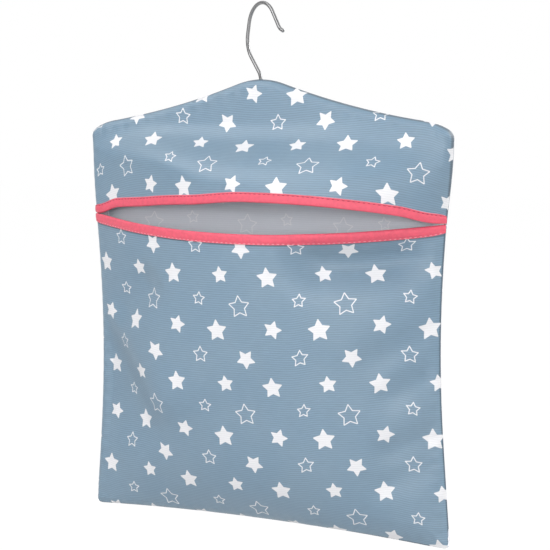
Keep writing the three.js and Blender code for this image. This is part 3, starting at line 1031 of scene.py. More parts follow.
@dataclass(frozen=True)
class PrintedCloth(Finish):
    """The bag's ribbed cloth with its white star print, its dye darkened as painted shade beside a seam and
    below the pouch's tape.
    """

    name: str = "star_print"
    blue: Colour = (0.150, 0.231, 0.308)
    faded: Colour = (0.159, 0.23793, 0.31108)
    white: Colour = (0.645, 0.645, 0.665)
    sheen: Colour = (0.3, 0.5, 0.7)
    slub: Triple = (0.7, 9.0, 1.0)
    slub_scale: float = 1.6
    fading_scale: float = 0.16
    rib_shade: Pair = (0.86, 1.10)
    slub_shade: Pair = (0.95, 1.04)
    thread_shade: Pair = (0.98, 1.04)
    ink_shade: Pair = (0.65, 1.0)
    # Painted shade beside a seam: the dye is darkest within the first distance and full beyond the second, in
    # millimetres.
    crease: Pair = (0.3, 1.7)
    painted_seam_shade: Pair = (0.42, 1.0)
    rib_height: float = 0.6
    relief: Pair = (0.35, 0.25)
    stars: StarPrint = StarPrint()
    weave: Weave = Weave()

    def surface(self, sheet: NodeSheet) -> Socket:
        """Lays out the nodes.

        Args:
            sheet: The material's empty sheet.

        Returns:
            The shader.
        """
        place = sheet.flat_place()
        ribs, threads = self.weave.rows(sheet, place)
        slubs = sheet.noise(sheet.vector("MULTIPLY", place, self.slub), self.slub_scale, 3.0)
        slub_shade = sheet.between(slubs, *NOISE_RANGE, self.slub_shade)
        shade = sheet.math("MULTIPLY", sheet.span(ribs, self.rib_shade), slub_shade)
        shade = sheet.math("MULTIPLY", shade, sheet.span(threads, self.thread_shade))
        fading = sheet.between(sheet.noise(place, self.fading_scale), *SHARP_NOISE_RANGE)
        dyed = sheet.scaled(sheet.mix(fading, self.blue, self.faded), shade)
        # Painted shade: the dye, but not the print, is darkened along the seams and below the pouch's tape.
        from_shade_line = sheet.add("Attribute", attribute_name=SHADE_LINE_DISTANCE).outputs["Fac"]
        seam_shaded = sheet.scaled(dyed, sheet.between(from_shade_line, *self.crease, self.painted_seam_shade))
        ink = sheet.scaled(self.white, sheet.span(shade, self.ink_shade))
        looks = {
            "Base Color": sheet.mix(self.stars.mask(sheet, place), seam_shaded, ink),
            "Roughness": 0.42,
            "Specular IOR Level": 0.6,
            "Sheen Weight": 0.05,
            "Sheen Roughness": 0.45,
            "Sheen Tint": (*self.sheen, 1.0),
        }
        height = self.weave.height(sheet, ribs, threads, self.rib_height)
        return sheet.principled(looks, height, self.relief)


@dataclass(frozen=True)
class ClothReverse(Finish):
    """The unprinted inside of the cloth, where the stars show through faintly."""

    name: str = "cloth_reverse"
    grey: Colour = (0.665, 0.694, 0.75)
    white: Colour = (0.98, 0.96, 0.97)
    show_through: float = 0.4
    rib_shade: Pair = (0.96, 1.0)
    rib_height: float = 0.5
    relief: Pair = (0.3, 0.2)
    stars: StarPrint = StarPrint()
    weave: Weave = Weave()

    def surface(self, sheet: NodeSheet) -> Socket:
        """Lays out the nodes.

        Args:
            sheet: The material's empty sheet.

        Returns:
            The shader.
        """
        place = sheet.flat_place()
        ribs, threads = self.weave.rows(sheet, place)
        showing = sheet.math("MULTIPLY", self.stars.mask(sheet, place), self.show_through)
        tint = sheet.mix(showing, self.grey, self.white)
        looks = {
            "Base Color": sheet.scaled(tint, sheet.span(ribs, self.rib_shade)),
            "Roughness": 0.8,
            "Specular IOR Level": 0.2,
            "Sheen Weight": 0.1,
        }
        height = self.weave.height(sheet, ribs, threads, self.rib_height)
        return sheet.principled(looks, height, self.relief)


@dataclass(frozen=True)
class BindingTape(Finish):
    """Pink woven bias tape, with a paler band painted along the rolled edge of its face as a highlight."""

    name: str = "pink_tape"
    pink: Colour = (0.67, 0.076, 0.126)
    pale: Colour = (0.93, 0.50, 0.55)
    edge: float = 1.1
    edge_highlight_start: float = 5 / 7
    edge_highlight_share: float = 0.7
    thread: float = 0.5
    thread_shade: float = 0.12
    worn_scale: float = 3.0
    worn_shade: Pair = (0.86, 0.98)
    relief: Pair = (0.35, 0.2)

    def surface(self, sheet: NodeSheet) -> Socket:
        """Lays out the nodes.

        Args:
            sheet: The material's empty sheet.

        Returns:
            The shader.
        """
        place = sheet.flat_place()
        parts = sheet.parts(place)
        bias = [sheet.math(kind, parts["X"], parts["Y"]) for kind in ("ADD", "SUBTRACT")]
        crossing = [sheet.wave(run, self.thread * CM_PER_MM) for run in bias]
        threads = sheet.lifted(sheet.math("MULTIPLY", *crossing))
        worn = sheet.between(sheet.noise(place, self.worn_scale, 3.0), *NOISE_RANGE, self.worn_shade)
        edge = self.edge * CM_PER_MM
        # Painted highlight: the tape's face is paler along its rolled edge.
        edge_highlight = sheet.between(parts["Y"], edge * self.edge_highlight_start, edge, (self.edge_highlight_share, 0.0))
        tint = sheet.mix(edge_highlight, self.pink, self.pale)
        looks = {
            "Base Color": sheet.scaled(tint, sheet.math("MULTIPLY_ADD", threads, self.thread_shade, worn)),
            "Roughness": 0.48,
            "Specular IOR Level": 0.7,
            "Sheen Weight": 0.1,
            "Sheen Roughness": 0.4,
        }
        return sheet.principled(looks, threads, self.relief)


@dataclass(frozen=True)
class SewingThread(Finish):
    """Twisted pink sewing thread, with painted shade in the grooves of its twist."""

    name: str = "needle_thread"
    # The needle thread's dark crimson is partly painted shade, standing for the dark needle holes along its
    # stitches.
    pink: Colour = (0.30, 0.012, 0.04)
    # Share of the colour in the twist's grooves: painted shade.
    hollow: float = 0.8
    twist: float = 0.5
    lay: Triple = (0.8, 0.3, 0.6)
    relief: Pair = (0.4, 0.1)

    def surface(self, sheet: NodeSheet) -> Socket:
        """Lays out the nodes.

        Args:
            sheet: The material's empty sheet.

        Returns:
            The shader.
        """
        along = sheet.vector("DOT_PRODUCT", sheet.solid_place(), self.lay)
        twist = sheet.lifted(sheet.wave(along, self.twist * MM))
        colour = sheet.mix(twist, dimmed(self.pink, self.hollow), self.pink)
        looks = {"Base Color": colour, "Roughness": 0.5, "Sheen Weight": 0.2}
        return sheet.principled(looks, twist, self.relief)


@dataclass(frozen=True)
class OverlockedCloth(Finish):
    """A seam allowance: the cloth's grey reverse under loops of overlock thread."""

    name: str = "overlocked_cloth"
    grey: Colour = (0.64, 0.68, 0.73)
    thread: Colour = (0.78, 0.80, 0.84)
    stitch: float = 2.2
    slant: float = 4.0
    loop_edge: Pair = (0.1, 0.7)
    relief: Pair = (0.5, 0.4)

    def surface(self, sheet: NodeSheet) -> Socket:
        """Lays out the nodes.

        Args:
            sheet: The material's empty sheet.

        Returns:
            The shader.
        """
        parts = sheet.parts(sheet.flat_place())
        stitch = self.stitch * CM_PER_MM
        zigzag = sheet.math("PINGPONG", parts["X"], stitch / 2)
        loops = sheet.wave(sheet.math("MULTIPLY_ADD", zigzag, self.slant, parts["Y"]), stitch)
        cover = sheet.between(loops, *self.loop_edge)
        colour = sheet.mix(cover, self.grey, self.thread)
        looks = {"Base Color": colour, "Roughness": 0.8, "Specular IOR Level": 0.2}
        return sheet.principled(looks, cover, self.relief)


@dataclass(frozen=True)
class PlatedSteel(Finish):
    """Plated wire with a soft shine."""

    name: str = "plated_steel"
    steel: Colour = (0.30, 0.30, 0.305)
    dull: float = 0.94
    cloud_scale: float = 60.0
    roughness: Pair = (0.32, 0.38)

    def surface(self, sheet: NodeSheet) -> Socket:
        """Lays out the nodes.

        Args:
            sheet: The material's empty sheet.

        Returns:
            The shader.
        """
        cloud = sheet.noise(sheet.solid_place(), self.cloud_scale)
        bright = sheet.between(cloud, *NOISE_RANGE)
        return sheet.principled({
            "Base Color": sheet.mix(bright, dimmed(self.steel, self.dull), self.steel),
            "Metallic": 1.0,
            "Roughness": sheet.between(cloud, *NOISE_RANGE, self.roughness),
        })


@dataclass(frozen=True)
class BeechWood(Finish):
    """Sanded, clear-lacquered beech with its grain along the arms and short dark flecks."""

    name: str = "beech"
    pale: Colour = (0.60, 0.39, 0.21)
    dark: Colour = (0.46, 0.27, 0.13)
    grain: Triple = (14.0, 220.0, 220.0)
    fleck: Triple = (140.0, 900.0, 900.0)
    fleck_range: Pair = (0.62, 0.7)
    fleck_shade: float = 0.6
    fleck_share: float = 0.5
    roughness: Pair = (0.38, 0.5)
    relief: Pair = (0.15, 0.2)

    def surface(self, sheet: NodeSheet) -> Socket:
        """Lays out the nodes.

        Args:
            sheet: The material's empty sheet.

        Returns:
            The shader.
        """
        place = sheet.solid_place()
        grain = sheet.noise(sheet.vector("MULTIPLY", place, self.grain), 1.0, 5.0, 0.6)
        flecks = sheet.noise(sheet.vector("MULTIPLY", place, self.fleck), 1.0)
        wood = sheet.mix(sheet.between(grain, *SHARP_NOISE_RANGE), self.pale, self.dark)
        flecked = sheet.between(flecks, *self.fleck_range, (0.0, self.fleck_share))
        looks = {
            "Base Color": sheet.mix(flecked, wood, dimmed(self.dark, self.fleck_shade)),
            "Roughness": sheet.between(grain, *NOISE_RANGE, self.roughness),
            "Coat Weight": 0.25,
            "Coat Roughness": 0.25,
        }
        return sheet.principled(looks, grain, self.relief)


@dataclass(frozen=True)
class PaleFloor(Finish):
    """A floor that looks white and still keeps a soft shadow."""

    name: str = "pale_floor"
    grey: Colour = (0.45, 0.45, 0.45)
    glow: float = 1.085
    glow_share: float = 0.9

    def surface(self, sheet: NodeSheet) -> Socket:
        """Lays out the nodes.

        Args:
            sheet: The material's empty sheet.

        Returns:
            The shader.
        """
        matt = sheet.add("BsdfDiffuse", {"Color": (*self.grey, 1.0)}).outputs["BSDF"]
        white = sheet.add("Emission", {"Color": WHITE, "Strength": self.glow}).outputs["Emission"]
        share = sheet.math("MULTIPLY", sheet.math("MAXIMUM", *sheet.rays()), self.glow_share)
        return sheet.add("MixShader", {0: share, 1: matt, 2: white}).outputs["Shader"]


@dataclass
class ClothPanel:
    """A panel of the bag: a curved sheet between two lines of its outline, with its flat cut in metres."""

    name: str
    node: str
    form: BagForm
    side: Side
    depth: Surface
    top_line: Line
    bottom_line: Line
    columns: int
    rows: int
    flat_from: float
    cut: Pair
    cut_area: float
    shift: Pair = (0.0, 0.0)
    turn: float = 0.0
    print_rise: float = 0.0
    print_rise_power: float = 4.0
    folds: tuple[Fold, ...] = ()
    thickness: float = 0.55
    loose_from: Ease = Ease(0.0, 14.0)
    unevenness: float = 0.5
    # A ripple has a length across, a length down and a phase.
    ripples: tuple[Triple, ...] = ((23.0, 31.0, 0.0), (37.0, -19.0, 1.3), (math.inf, 27.0, 0.4))
    pucker: float = 0.3
    pucker_pitch: float = 12.0
    pucker_drift: float = 17.0
    pucker_reach: float = 7.0
    side_reach: float = 12.0
    # How far below its top line the pouch tape's edge lies; the cloth's colour gets painted shade along it.
    tape_shade_drop: float = 0.0
    tape_shade_offset: float = 0.3
    crowding: float = 0.32
    map_step: float = 1.0
    map_half: float = 180.0
    map_down: float = 408.0

    def surface(self, x: Array, drop: Array) -> Array:
        """Distance of the cloth's outer face from the middle plane.

        Args:
            x: Places across the bag.
            drop: Places below the top of the cloth.

        Returns:
            The swell with its folds, its unevenness and the puckers beside its seams.
        """
        edge = self.form.edge_distance(x, drop)
        lifts = sum(fold.lift(x, drop) for fold in self.folds)
        waves = sum(np.sin(x / across + drop / down + phase) for across, down, phase in self.ripples)
        loose = (lifts + self.unevenness * waves / len(self.ripples)) * self.loose_from(edge)
        along = np.where(np.abs(x) > self.form.half_width(drop) - self.side_reach, drop, x)
        puckers = np.cos(2 * np.pi * along / self.pucker_pitch + np.sin(along / self.pucker_drift))
        beside = bell(edge - self.pucker_reach, self.pucker_reach / math.sqrt(2))
        return self.depth(x, drop) + loose + self.pucker * puckers * beside

    def place(self, x: Array, drop: Array) -> Array:
        """Points of the cloth's outer face in the part's frame, in millimetres."""
        depth = self.side.value * self.surface(x, drop) + self.form.seam_line(x, drop)
        return self.form.points(self.form.drawn(x, drop), depth, drop)

    def flat_map(self, x: Array, drop: Array) -> Array:
        """Places on the flat cloth, by measuring along it.

        Args:
            x: Places across the bag.
            drop: Places below the top of the cloth.

        Returns:
            Two columns: across from the middle, and down.
        """
        step = self.map_step
        across = np.arange(-self.map_half, self.map_half + step, step)
        down = np.arange(0.0, self.map_down + step, step)
        depth = self.surface(*np.meshgrid(across, down))
        runs = [np.cumsum(np.hypot(np.diff(depth, axis=axis), step), axis=axis) for axis in (0, 1)]
        flat_down = np.pad(runs[0], ((1, 0), (0, 0)))
        flat_down = flat_down - flat_down[[int(self.flat_from / step)], :] + self.flat_from
        flat_x = np.pad(runs[1], ((0, 0), (1, 0)))
        flat_x = flat_x - flat_x[:, [len(across) // 2]]
        row = np.clip(drop / step, 0, len(down) - 1)
        column = np.clip((x - across[0]) / step, 0, len(across) - 1)
        rise = self.print_rise * (np.abs(x) / self.form.half_shoulder) ** self.print_rise_power
        sideways = -self.side.value * read_table(flat_x, row, column)
        flat = np.stack([sideways, read_table(flat_down, row, column) - rise], axis=-1)
        cos, sin = math.cos(self.turn), math.sin(self.turn)
        return flat @ np.array([[cos, sin], [-sin, cos]]) - np.array(self.shift)

    def build(self, outer: Finish, inner: Finish) -> Piece:
        """Models the panel.

        Args:
            outer: Finish of the face that shows.
            inner: Finish of the face inside the bag.

        Returns:
            The finished piece.
        """
        piece = Workbench.grid(self.name, self.columns, self.rows)
        u, up, _ = crowded(Workbench.corners(piece), self.crowding).T
        high, low = self.top_line(u), self.bottom_line(u)
        drop = high + (low - high) * (0.5 - 0.5 * up)
        x = u * self.form.half_width(drop)
        Workbench.move_to(piece, self.place(x, drop))
        Workbench.lay_flat(piece, self.flat_map(x, drop))
        # Distance from the seams and from the tape's edge, along which the cloth's material paints shade.
        from_shade_line = self.form.edge_distance(x, drop)
        if self.tape_shade_drop:
            from_shade_line = np.minimum(from_shade_line, np.abs(drop - high - self.tape_shade_drop) + self.tape_shade_offset)
        attribute = piece.data.attributes.new(SHADE_LINE_DISTANCE, "FLOAT", "POINT")
        attribute.data.foreach_set("value", from_shade_line.astype(np.float32))
        Workbench.face_outwards(piece, self.side)
        Workbench.dress(piece, outer.material(), inner.material())
        Workbench.thicken(piece, self.thickness, lining=1)
        Workbench.soften(piece, angle=60.0)
        return piece


@dataclass
class Binding:
    """Folded tape round a cut edge of the mouth, with its row of stitches."""

    name: str
    node: str
    panel: ClothPanel
    edge_line: Line
    into: int
    height: float = 8.8
    fold: float = 1.8
    tape: float = 0.55
    ease: float = 0.35
    end: float = 0.4
    gather: Pair = (0.6, 0.32)
    gather_from: float = 0.92
    normal_step: float = 0.6
    stations: int = 260
    crowding: float = 0.25
    turn_angles: tuple[float, ...] = (20.0, 45.0, 70.0, 90.0, 110.0, 135.0, 160.0)
    stitch_inset: float = 1.5
    stitch_pitch: float = 4.3
    stitch_length: float = 2.5
    stitch_radius: float = 0.34
    stitch_sink: float = 0.16
    stitch_look_ahead: float = 0.5
    stitch_samples: int = 2000

    @property
    def leg(self) -> float:
        """Height of the tape from the raw edge to its own edge."""
        return self.height - self.fold

    @property
    def rise(self) -> float:
        """How far the tape's face stands out of the cloth's."""
        return self.ease + self.tape

    @property
    def reach(self) -> float:
        """Share of the half width where the tape ends."""
        return 1 - self.end / self.panel.form.half_shoulder

    def section(self) -> Array:
        """The tape's closed section.

        Returns:
            For each point how far into the cloth it lies, and how far proud of the cloth's outer face.
        """
        leg, rise = self.leg, self.rise
        back = -self.panel.thickness
        groove = leg - self.stitch_inset
        # The face runs from the tape's edge over the stitches' groove and a soft crown to the fold.
        face = [
            (leg - 0.15, self.ease * 0.3), (leg, self.ease + 0.1), (leg - 0.3, rise + 0.18),
            (groove + 0.55, rise + 0.1), (groove, rise - 0.22), (groove - 0.7, rise + 0.12),
            (leg * 0.62, rise + 0.32), (leg * 0.35, rise + 0.36), (0.6, rise + 0.3),
        ]
        deep = face[-1][1] - back / 2
        turn = [
            (-self.fold * math.sin(angle), deep * math.cos(angle) + back / 2)
            for angle in np.radians(self.turn_angles)
        ]
        behind = [(along, back - proud) for along, proud in reversed(face)]
        # The inner side leaves a little room round the raw edge.
        lining = [
            (leg - 0.3, back - 0.12), (0.2, back - 0.2), (-0.25, back / 2), (0.2, 0.2), (leg - 0.3, 0.12),
        ]
        return np.array([*face, *turn, *behind, *lining])

    def points(self, u: Array, into: Array, proud: Array) -> Array:
        """Points beside the edge, drawn together where the tape runs into the side seams.

        Args:
            u: Shares of the half width.
            into: Distances from the edge into the cloth.
            proud: Distances out of the cloth's outer face.

        Returns:
            One point each, in millimetres.
        """
        place, step = self.panel.place, self.normal_step
        edge = self.edge_line(u)
        x = u * self.panel.form.half_width(edge)
        middle = edge + self.into * self.height / 2
        across = place(x + step, middle) - place(x - step, middle)
        down = place(x, middle + step) - place(x, middle - step)
        normal = unit(np.cross(across, down))
        normal = normal * np.where(normal[..., 1:2] > 0, -1, 1)
        at_end = way_along(np.abs(u), self.gather_from, 1.0)
        into = into * (1 - by_side(u, self.gather) * (1 - np.sqrt(1 - at_end**2)))
        base = place(x, edge + self.into * np.maximum(into, 0.0))
        base[..., 2] -= self.into * np.minimum(into, 0.0)
        return base + normal * proud[..., None]

    def build(self, finish: Finish) -> Piece:
        """Models the tape.

        Args:
            finish: The tape's finish.

        Returns:
            The finished piece.
        """
        section = self.section()
        count = len(section)
        piece = Workbench.grid(self.name, self.stations, count)
        along, round_it, _ = ((Workbench.corners(piece) + 1) / 2).T
        station = np.rint(along * self.stations).astype(int)
        corner = np.rint(round_it * count).astype(int)
        u = self.reach * crowded(np.linspace(-1, 1, self.stations + 1), self.crowding)[station]
        Workbench.move_to(piece, self.points(u, *section[corner % count].T))
        girth = run_along(section)
        girth = np.append(girth, girth[-1])[corner]
        Workbench.lay_flat(piece, np.stack([u * self.panel.form.half_shoulder, girth], axis=-1))
        Workbench.close_ends(piece)
        Workbench.dress(piece, finish.material())
        Workbench.soften(piece, angle=70.0)
        return piece

    def stitch(self, finish: Finish) -> Piece:
        """Models one stitch and copies it along both faces of the tape.

        Args:
            finish: The thread's finish.

        Returns:
            All the stitches as one piece.
        """
        Workbench.clear()
        bpy.ops.mesh.primitive_uv_sphere_add(segments=8, ring_count=5, radius=1.0)
        piece = bpy.context.object
        piece.name = piece.data.name = self.name.replace("tape", "stitches")
        sizes = [self.stitch_length / 2, self.stitch_radius, self.stitch_radius]
        one = Workbench.corners(piece)[:, [2, 0, 1]] * sizes
        u = np.linspace(-1, 1, self.stitch_samples) * self.reach
        inset = np.full_like(u, self.leg - self.stitch_inset)
        front = self.rise - self.stitch_sink
        copies = []
        for proud in (front, -self.panel.thickness - front):
            line = self.points(u, inset, np.full_like(u, proud))
            run = run_along(line)
            at = np.arange(self.stitch_pitch, run[-1] - self.stitch_pitch, self.stitch_pitch)
            heart, ahead = (
                np.stack([np.interp(at + step, run, axis) for axis in line.T], axis=-1)
                for step in (0.0, self.stitch_look_ahead)
            )
            ahead = unit(ahead - heart)
            aside = unit(np.cross(ahead, [0.0, 0.0, 1.0]))
            axes = np.stack([ahead, aside, np.cross(aside, ahead)], axis=1)
            copies.append(heart[:, None, :] + np.einsum("vk,skc->svc", one, axes))
        self.copy_along(piece, np.concatenate(copies))
        Workbench.dress(piece, finish.material())
        Workbench.soften(piece)
        return piece

    @staticmethod
    def copy_along(piece: Piece, copies: Array) -> None:
        """Repeats a small mesh, with each copy's vertices given in millimetres.

        Args:
            piece: The mesh that is repeated.
            copies: One row of places for each copy.
        """
        repeat = piece.modifiers.new("repeat", "ARRAY")
        repeat.count = len(copies)
        Workbench.apply(piece, repeat)
        Workbench.move_to(piece, copies.reshape(-1, 3))


@dataclass
class SeamStrip:
    """A seam allowance inside the bag, laid out by shares along it and across it."""

    name: str
    node: str
    points: Surface
    length: float
    width: float
    thickness: float = 1.0
    columns: int = 90
    rows: int = 6
    ripple: float = 0.25
    ripple_length: float = 3.1

    def build(self, finish: Finish) -> Piece:
        """Models the strip.

        Args:
            finish: The strip's finish.

        Returns:
            The finished piece.
        """
        piece = Workbench.grid(self.name, self.columns, self.rows)
        along, across, _ = ((Workbench.corners(piece) + 1) / 2).T
        places = self.points(along, across)
        places[:, 1] += self.ripple * np.sin(along * self.length / self.ripple_length) * across
        Workbench.move_to(piece, places)
        Workbench.lay_flat(piece, np.stack([along * self.length, across * self.width], axis=-1))
        Workbench.dress(piece, finish.material())
        Workbench.thicken(piece, self.thickness, offset=0.0)
        Workbench.soften(piece, angle=50.0)
        return piece


@dataclass
class Hook:
    """The swivel hook: one wire, drawn up from its peened head through four bends to a round tip."""

    wire: float = 1.6
    standout: float = -1.5
    neck_lean: float = math.radians(44)
    neck_radius: float = 12.0
    back_radius: float = 22.0
    back_length: float = 9.5
    back_lean: float = math.radians(14)
    crown_radius: float = 22.0
    tip_dip: float = math.radians(53)
    tip_length: float = 16.0
    flare_radius: float = 9.0
    flare_turn: float = math.radians(30)
    flare_length: float = 3.0
    turn: float = math.radians(-33.5)
    head_radius: float = 2.8
    head_height: float = 2.0
    head_foot: float = 2 / 3
    # A step of the head has its share of the height and of the radius.
    head_steps: tuple[Pair, ...] = ((0.25, 0.9), (0.25, 1.0), (0.5, 1.0))
    head_shoulder: float = 0.15
    tip_steps: tuple[float, ...] = (25.0, 50.0, 70.0, 84.0)
    bend_step: float = math.radians(5)
    sides: int = 28
    heading: float = field(default=0.0, init=False)
    here: Vector = field(default_factory=Vector, init=False)

    @property
    def neck_length(self) -> float:
        """Straight wire between the neck's and the back's bend, so that the crown stands over the shank."""
        bends = (self.neck_radius + self.back_radius) * (1 - math.cos(self.neck_lean))
        return (self.crown_radius - bends) / math.sin(self.neck_lean)

    def draw(self, length: float, widen: float = 1.0) -> None:
        """Extrudes the open end straight on, and may widen it there.

        Args:
            length: How far it goes.
            widen: How many times wider it becomes.
        """
        step = Vector((math.sin(self.heading), 0, math.cos(self.heading))) * length * MM
        bpy.ops.mesh.extrude_region_move(TRANSFORM_OT_translate={"value": step})
        self.here = self.here + step
        if widen != 1.0:
            bpy.ops.transform.resize(value=(widen, widen, widen), center_override=self.here)

    def bend(self, radius: float, angle: float) -> None:
        """Spins the open end round a bend.

        Args:
            radius: Radius of the bend.
            angle: How far it turns; a positive angle goes towards +X.
        """
        side = math.copysign(1.0, angle)
        aside = Vector((math.cos(self.heading), 0, -math.sin(self.heading))) * side * radius * MM
        centre = self.here + aside
        steps = round(abs(angle) / self.bend_step)
        bpy.ops.mesh.spin(steps=steps, angle=-angle, center=centre, axis=(0, 1, 0))
        self.here = centre + Matrix.Rotation(angle, 3, "Y") @ (-aside)
        self.heading += angle

    def head(self) -> None:
        """Draws the peened head, from its foot up to the wire."""
        width = self.head_foot
        for rise, share in self.head_steps:
            self.draw(self.head_height * rise, share / width)
            width = share
        self.draw(self.head_shoulder, self.wire / self.head_radius)

    def tip(self) -> None:
        """Rounds off the wire's end."""
        drawn, width = 0.0, 1.0
        for angle in np.radians(self.tip_steps):
            self.draw(self.wire * (math.sin(angle) - drawn), math.cos(angle) / width)
            drawn, width = math.sin(angle), math.cos(angle)

    def build(self, finish: Finish) -> Piece:
        """Models the wire.

        Args:
            finish: The wire's finish.

        Returns:
            The finished piece.
        """
        self.here = Vector((0, 0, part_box("hook_wire")[0].z))
        Workbench.clear()
        foot_radius = self.head_foot * self.head_radius * MM
        bpy.ops.mesh.primitive_circle_add(vertices=self.sides, radius=foot_radius, location=self.here)
        bpy.ops.object.transform_apply(location=True, rotation=True, scale=True)
        piece = bpy.context.object
        piece.name = piece.data.name = "hook_bent_wire"
        Workbench.edit(piece)
        self.head()
        shank = BagForm().top + self.standout - self.here.z / MM
        for straight, radius, angle in (
            (shank, self.neck_radius, -self.neck_lean),
            (self.neck_length, self.back_radius, self.neck_lean + self.back_lean),
            (self.back_length, self.crown_radius, math.pi / 2 + self.tip_dip - self.back_lean),
            (self.tip_length, self.flare_radius, -self.flare_turn),
        ):
            self.draw(straight)
            self.bend(radius, angle)
        self.draw(self.flare_length)
        self.tip()
        Workbench.clear()
        piece.data.transform(Matrix.Rotation(self.turn, 4, "Z"))
        Workbench.close_ends(piece)
        Workbench.dress(piece, finish.material())
        Workbench.soften(piece, angle=50.0)
        return piece


@dataclass
class Bag:
    """The sewn bag: three panels, two bindings with their stitches, and the allowances inside."""

    form: BagForm = BagForm()
    allowance_width: float = 9.0
    allowance_inset: float = 2.2
    pressed_width: float = 5.0
    pressed_thickness: float = 0.7
    pressed_inset: float = 2.6
    shank_room: float = 2.8

    def yoke(self) -> ClothPanel:
        """The front above the mouth.

        Returns:
            The panel, ready to be built.
        """
        form = self.form
        return ClothPanel(
            "yoke_cloth", "front_yoke", form, Side.FRONT, form.yoke_depth, form.shoulder_drop, form.yoke_edge,
            columns=200, rows=110, flat_from=100.0, cut=(0.365, 0.150), cut_area=0.037,
            shift=(-31.9, -123.9), turn=math.radians(0.9), print_rise=22.0,
            folds=(Fold((70, 86), (152, 66), 1.8, 9.0),),
        )

    def pouch(self) -> ClothPanel:
        """The front below the mouth.

        Returns:
            The panel, ready to be built.
        """
        form = self.form
        folds = (
            Fold((-157, 202), (-77, 333), -8.5, 17.0, kind=FoldKind.STEP),
            Fold((30, 153), (168, 146), -18.5, 13.5, bow=7),
            Fold((-80, 168), (-145, 226), -6.5, 12.0),
            Fold((172, 205), (95, 250), -3.0, 9.0),
            Fold((174, 240), (110, 282), -4.0, 9.0),
            Fold((176, 296), (105, 330), -4.5, 9.0),
            Fold((176, 322), (100, 360), -3.5, 10.0),
            Fold((150, 195), (60, 235), 1.8, 14.0),
        )
        return ClothPanel(
            "pouch_cloth", "front_pouch", form, Side.FRONT, form.pouch_depth, form.pouch_edge, form.bottom,
            columns=200, rows=170, flat_from=152.0, cut=(0.375, 0.292), cut_area=0.100,
            shift=(1.42, 1.7), turn=math.radians(0.5), print_rise=-6.0, folds=folds, tape_shade_drop=7.4,
        )

    def back(self) -> ClothPanel:
        """The back, from the shoulders to the bottom.

        Returns:
            The panel, ready to be built.
        """
        form = self.form
        folds = (
            Fold((-120, 90), (130, 95), 1.8, 14.0, bow=40),
            Fold((-160, 150), (-95, 330), 3.6, 14.0, bow=12),
            Fold((-150, 260), (-30, 392), 4.2, 12.0, bow=-14),
            Fold((-40, 190), (-70, 375), -3.0, 15.0, bow=10),
            Fold((158, 170), (75, 385), 4.5, 13.0, bow=-16),
            Fold((165, 330), (70, 395), 3.0, 11.0),
            Fold((45, 175), (30, 350), 3.0, 16.0, bow=8),
        )
        return ClothPanel(
            "back_cloth", "back_panel", form, Side.BACK, form.back_depth, form.shoulder_drop, form.bottom,
            columns=200, rows=200, flat_from=135.0, cut=(0.365, 0.420), cut_area=0.134,
            shift=(22.7, 34.7), folds=folds,
        )

    @property
    def inner_line(self) -> float:
        """Distance of an allowance's inner edge from the bag's outline."""
        return self.allowance_inset + self.allowance_width

    @property
    def side_length(self) -> float:
        """Length of a side's allowance, which ends above the bottom's."""
        foot = float(self.form.bottom(np.zeros(1))[0]) - self.inner_line - self.form.gap
        return foot - self.form.corner_drop

    @property
    def bottom_reach(self) -> float:
        """Half the length of the bottom's allowance."""
        return self.form.bottom_width / 2 - self.inner_line

    @property
    def shoulder_reach(self) -> float:
        """How far from the middle a shoulder's allowance goes: to where the arm droops."""
        return self.form.arcs()[2][0]

    def side_points(self, side: int, along: Array, across: Array) -> Array:
        """Points of a side's allowance.

        Args:
            side: -1 on the left, 1 on the right.
            along: Shares from the shoulder down.
            across: Shares from the seam inwards.

        Returns:
            One point each, in millimetres.
        """
        form = self.form
        drop = form.corner_drop + self.side_length * along
        x = side * (form.half_width(drop) - self.allowance_inset - self.allowance_width * across)
        return form.points(form.drawn(x, drop), form.seam_line(x, drop), drop)

    def shoulder_points(self, side: int, along: Array, across: Array) -> Array:
        """Points of a shoulder's allowance, pressed open on the hanger.

        Args:
            side: -1 on the left, 1 on the right.
            along: Shares from the hook's shank outwards.
            across: Shares from front to back.

        Returns:
            One point each, in millimetres.
        """
        x = self.shank_room + (self.shoulder_reach - self.shank_room) * along
        drop, slope = self.form.shoulder(x)
        x, drop = x - self.pressed_inset * np.sin(slope), drop + self.pressed_inset * np.cos(slope)
        return self.form.points(side * x, self.pressed_width * (across - 0.5), drop)

    def bottom_points(self, along: Array, across: Array) -> Array:
        """Points of the bottom's allowance.

        Args:
            along: Shares from left to right.
            across: Shares from the seam upwards.

        Returns:
            One point each, in millimetres.
        """
        x = self.bottom_reach * (2 * along - 1)
        inset = self.allowance_inset + self.allowance_width * across
        drop = self.form.bottom(x * 2 / self.form.bottom_width) - inset
        return self.form.points(x, np.zeros_like(x), drop)

    def strips(self) -> list[SeamStrip]:
        """The overlocked allowances of the sides, the shoulders and the bottom.

        Returns:
            The strips, ready to be built.
        """
        made = []
        for side, word in ((-1, "left"), (1, "right")):
            made.append(SeamStrip(
                f"{word}_side_allowance", f"{word}_side_seam", partial(self.side_points, side),
                self.side_length, self.allowance_width,
            ))
            made.append(SeamStrip(
                f"{word}_shoulder_allowance", f"{word}_shoulder_seam", partial(self.shoulder_points, side),
                self.shoulder_reach, self.pressed_width, thickness=self.pressed_thickness, ripple=0.0,
            ))
        bottom_length = 2 * self.bottom_reach
        made.append(SeamStrip(
            "bottom_allowance", "bottom_seam", self.bottom_points, bottom_length, self.allowance_width
        ))
        return made

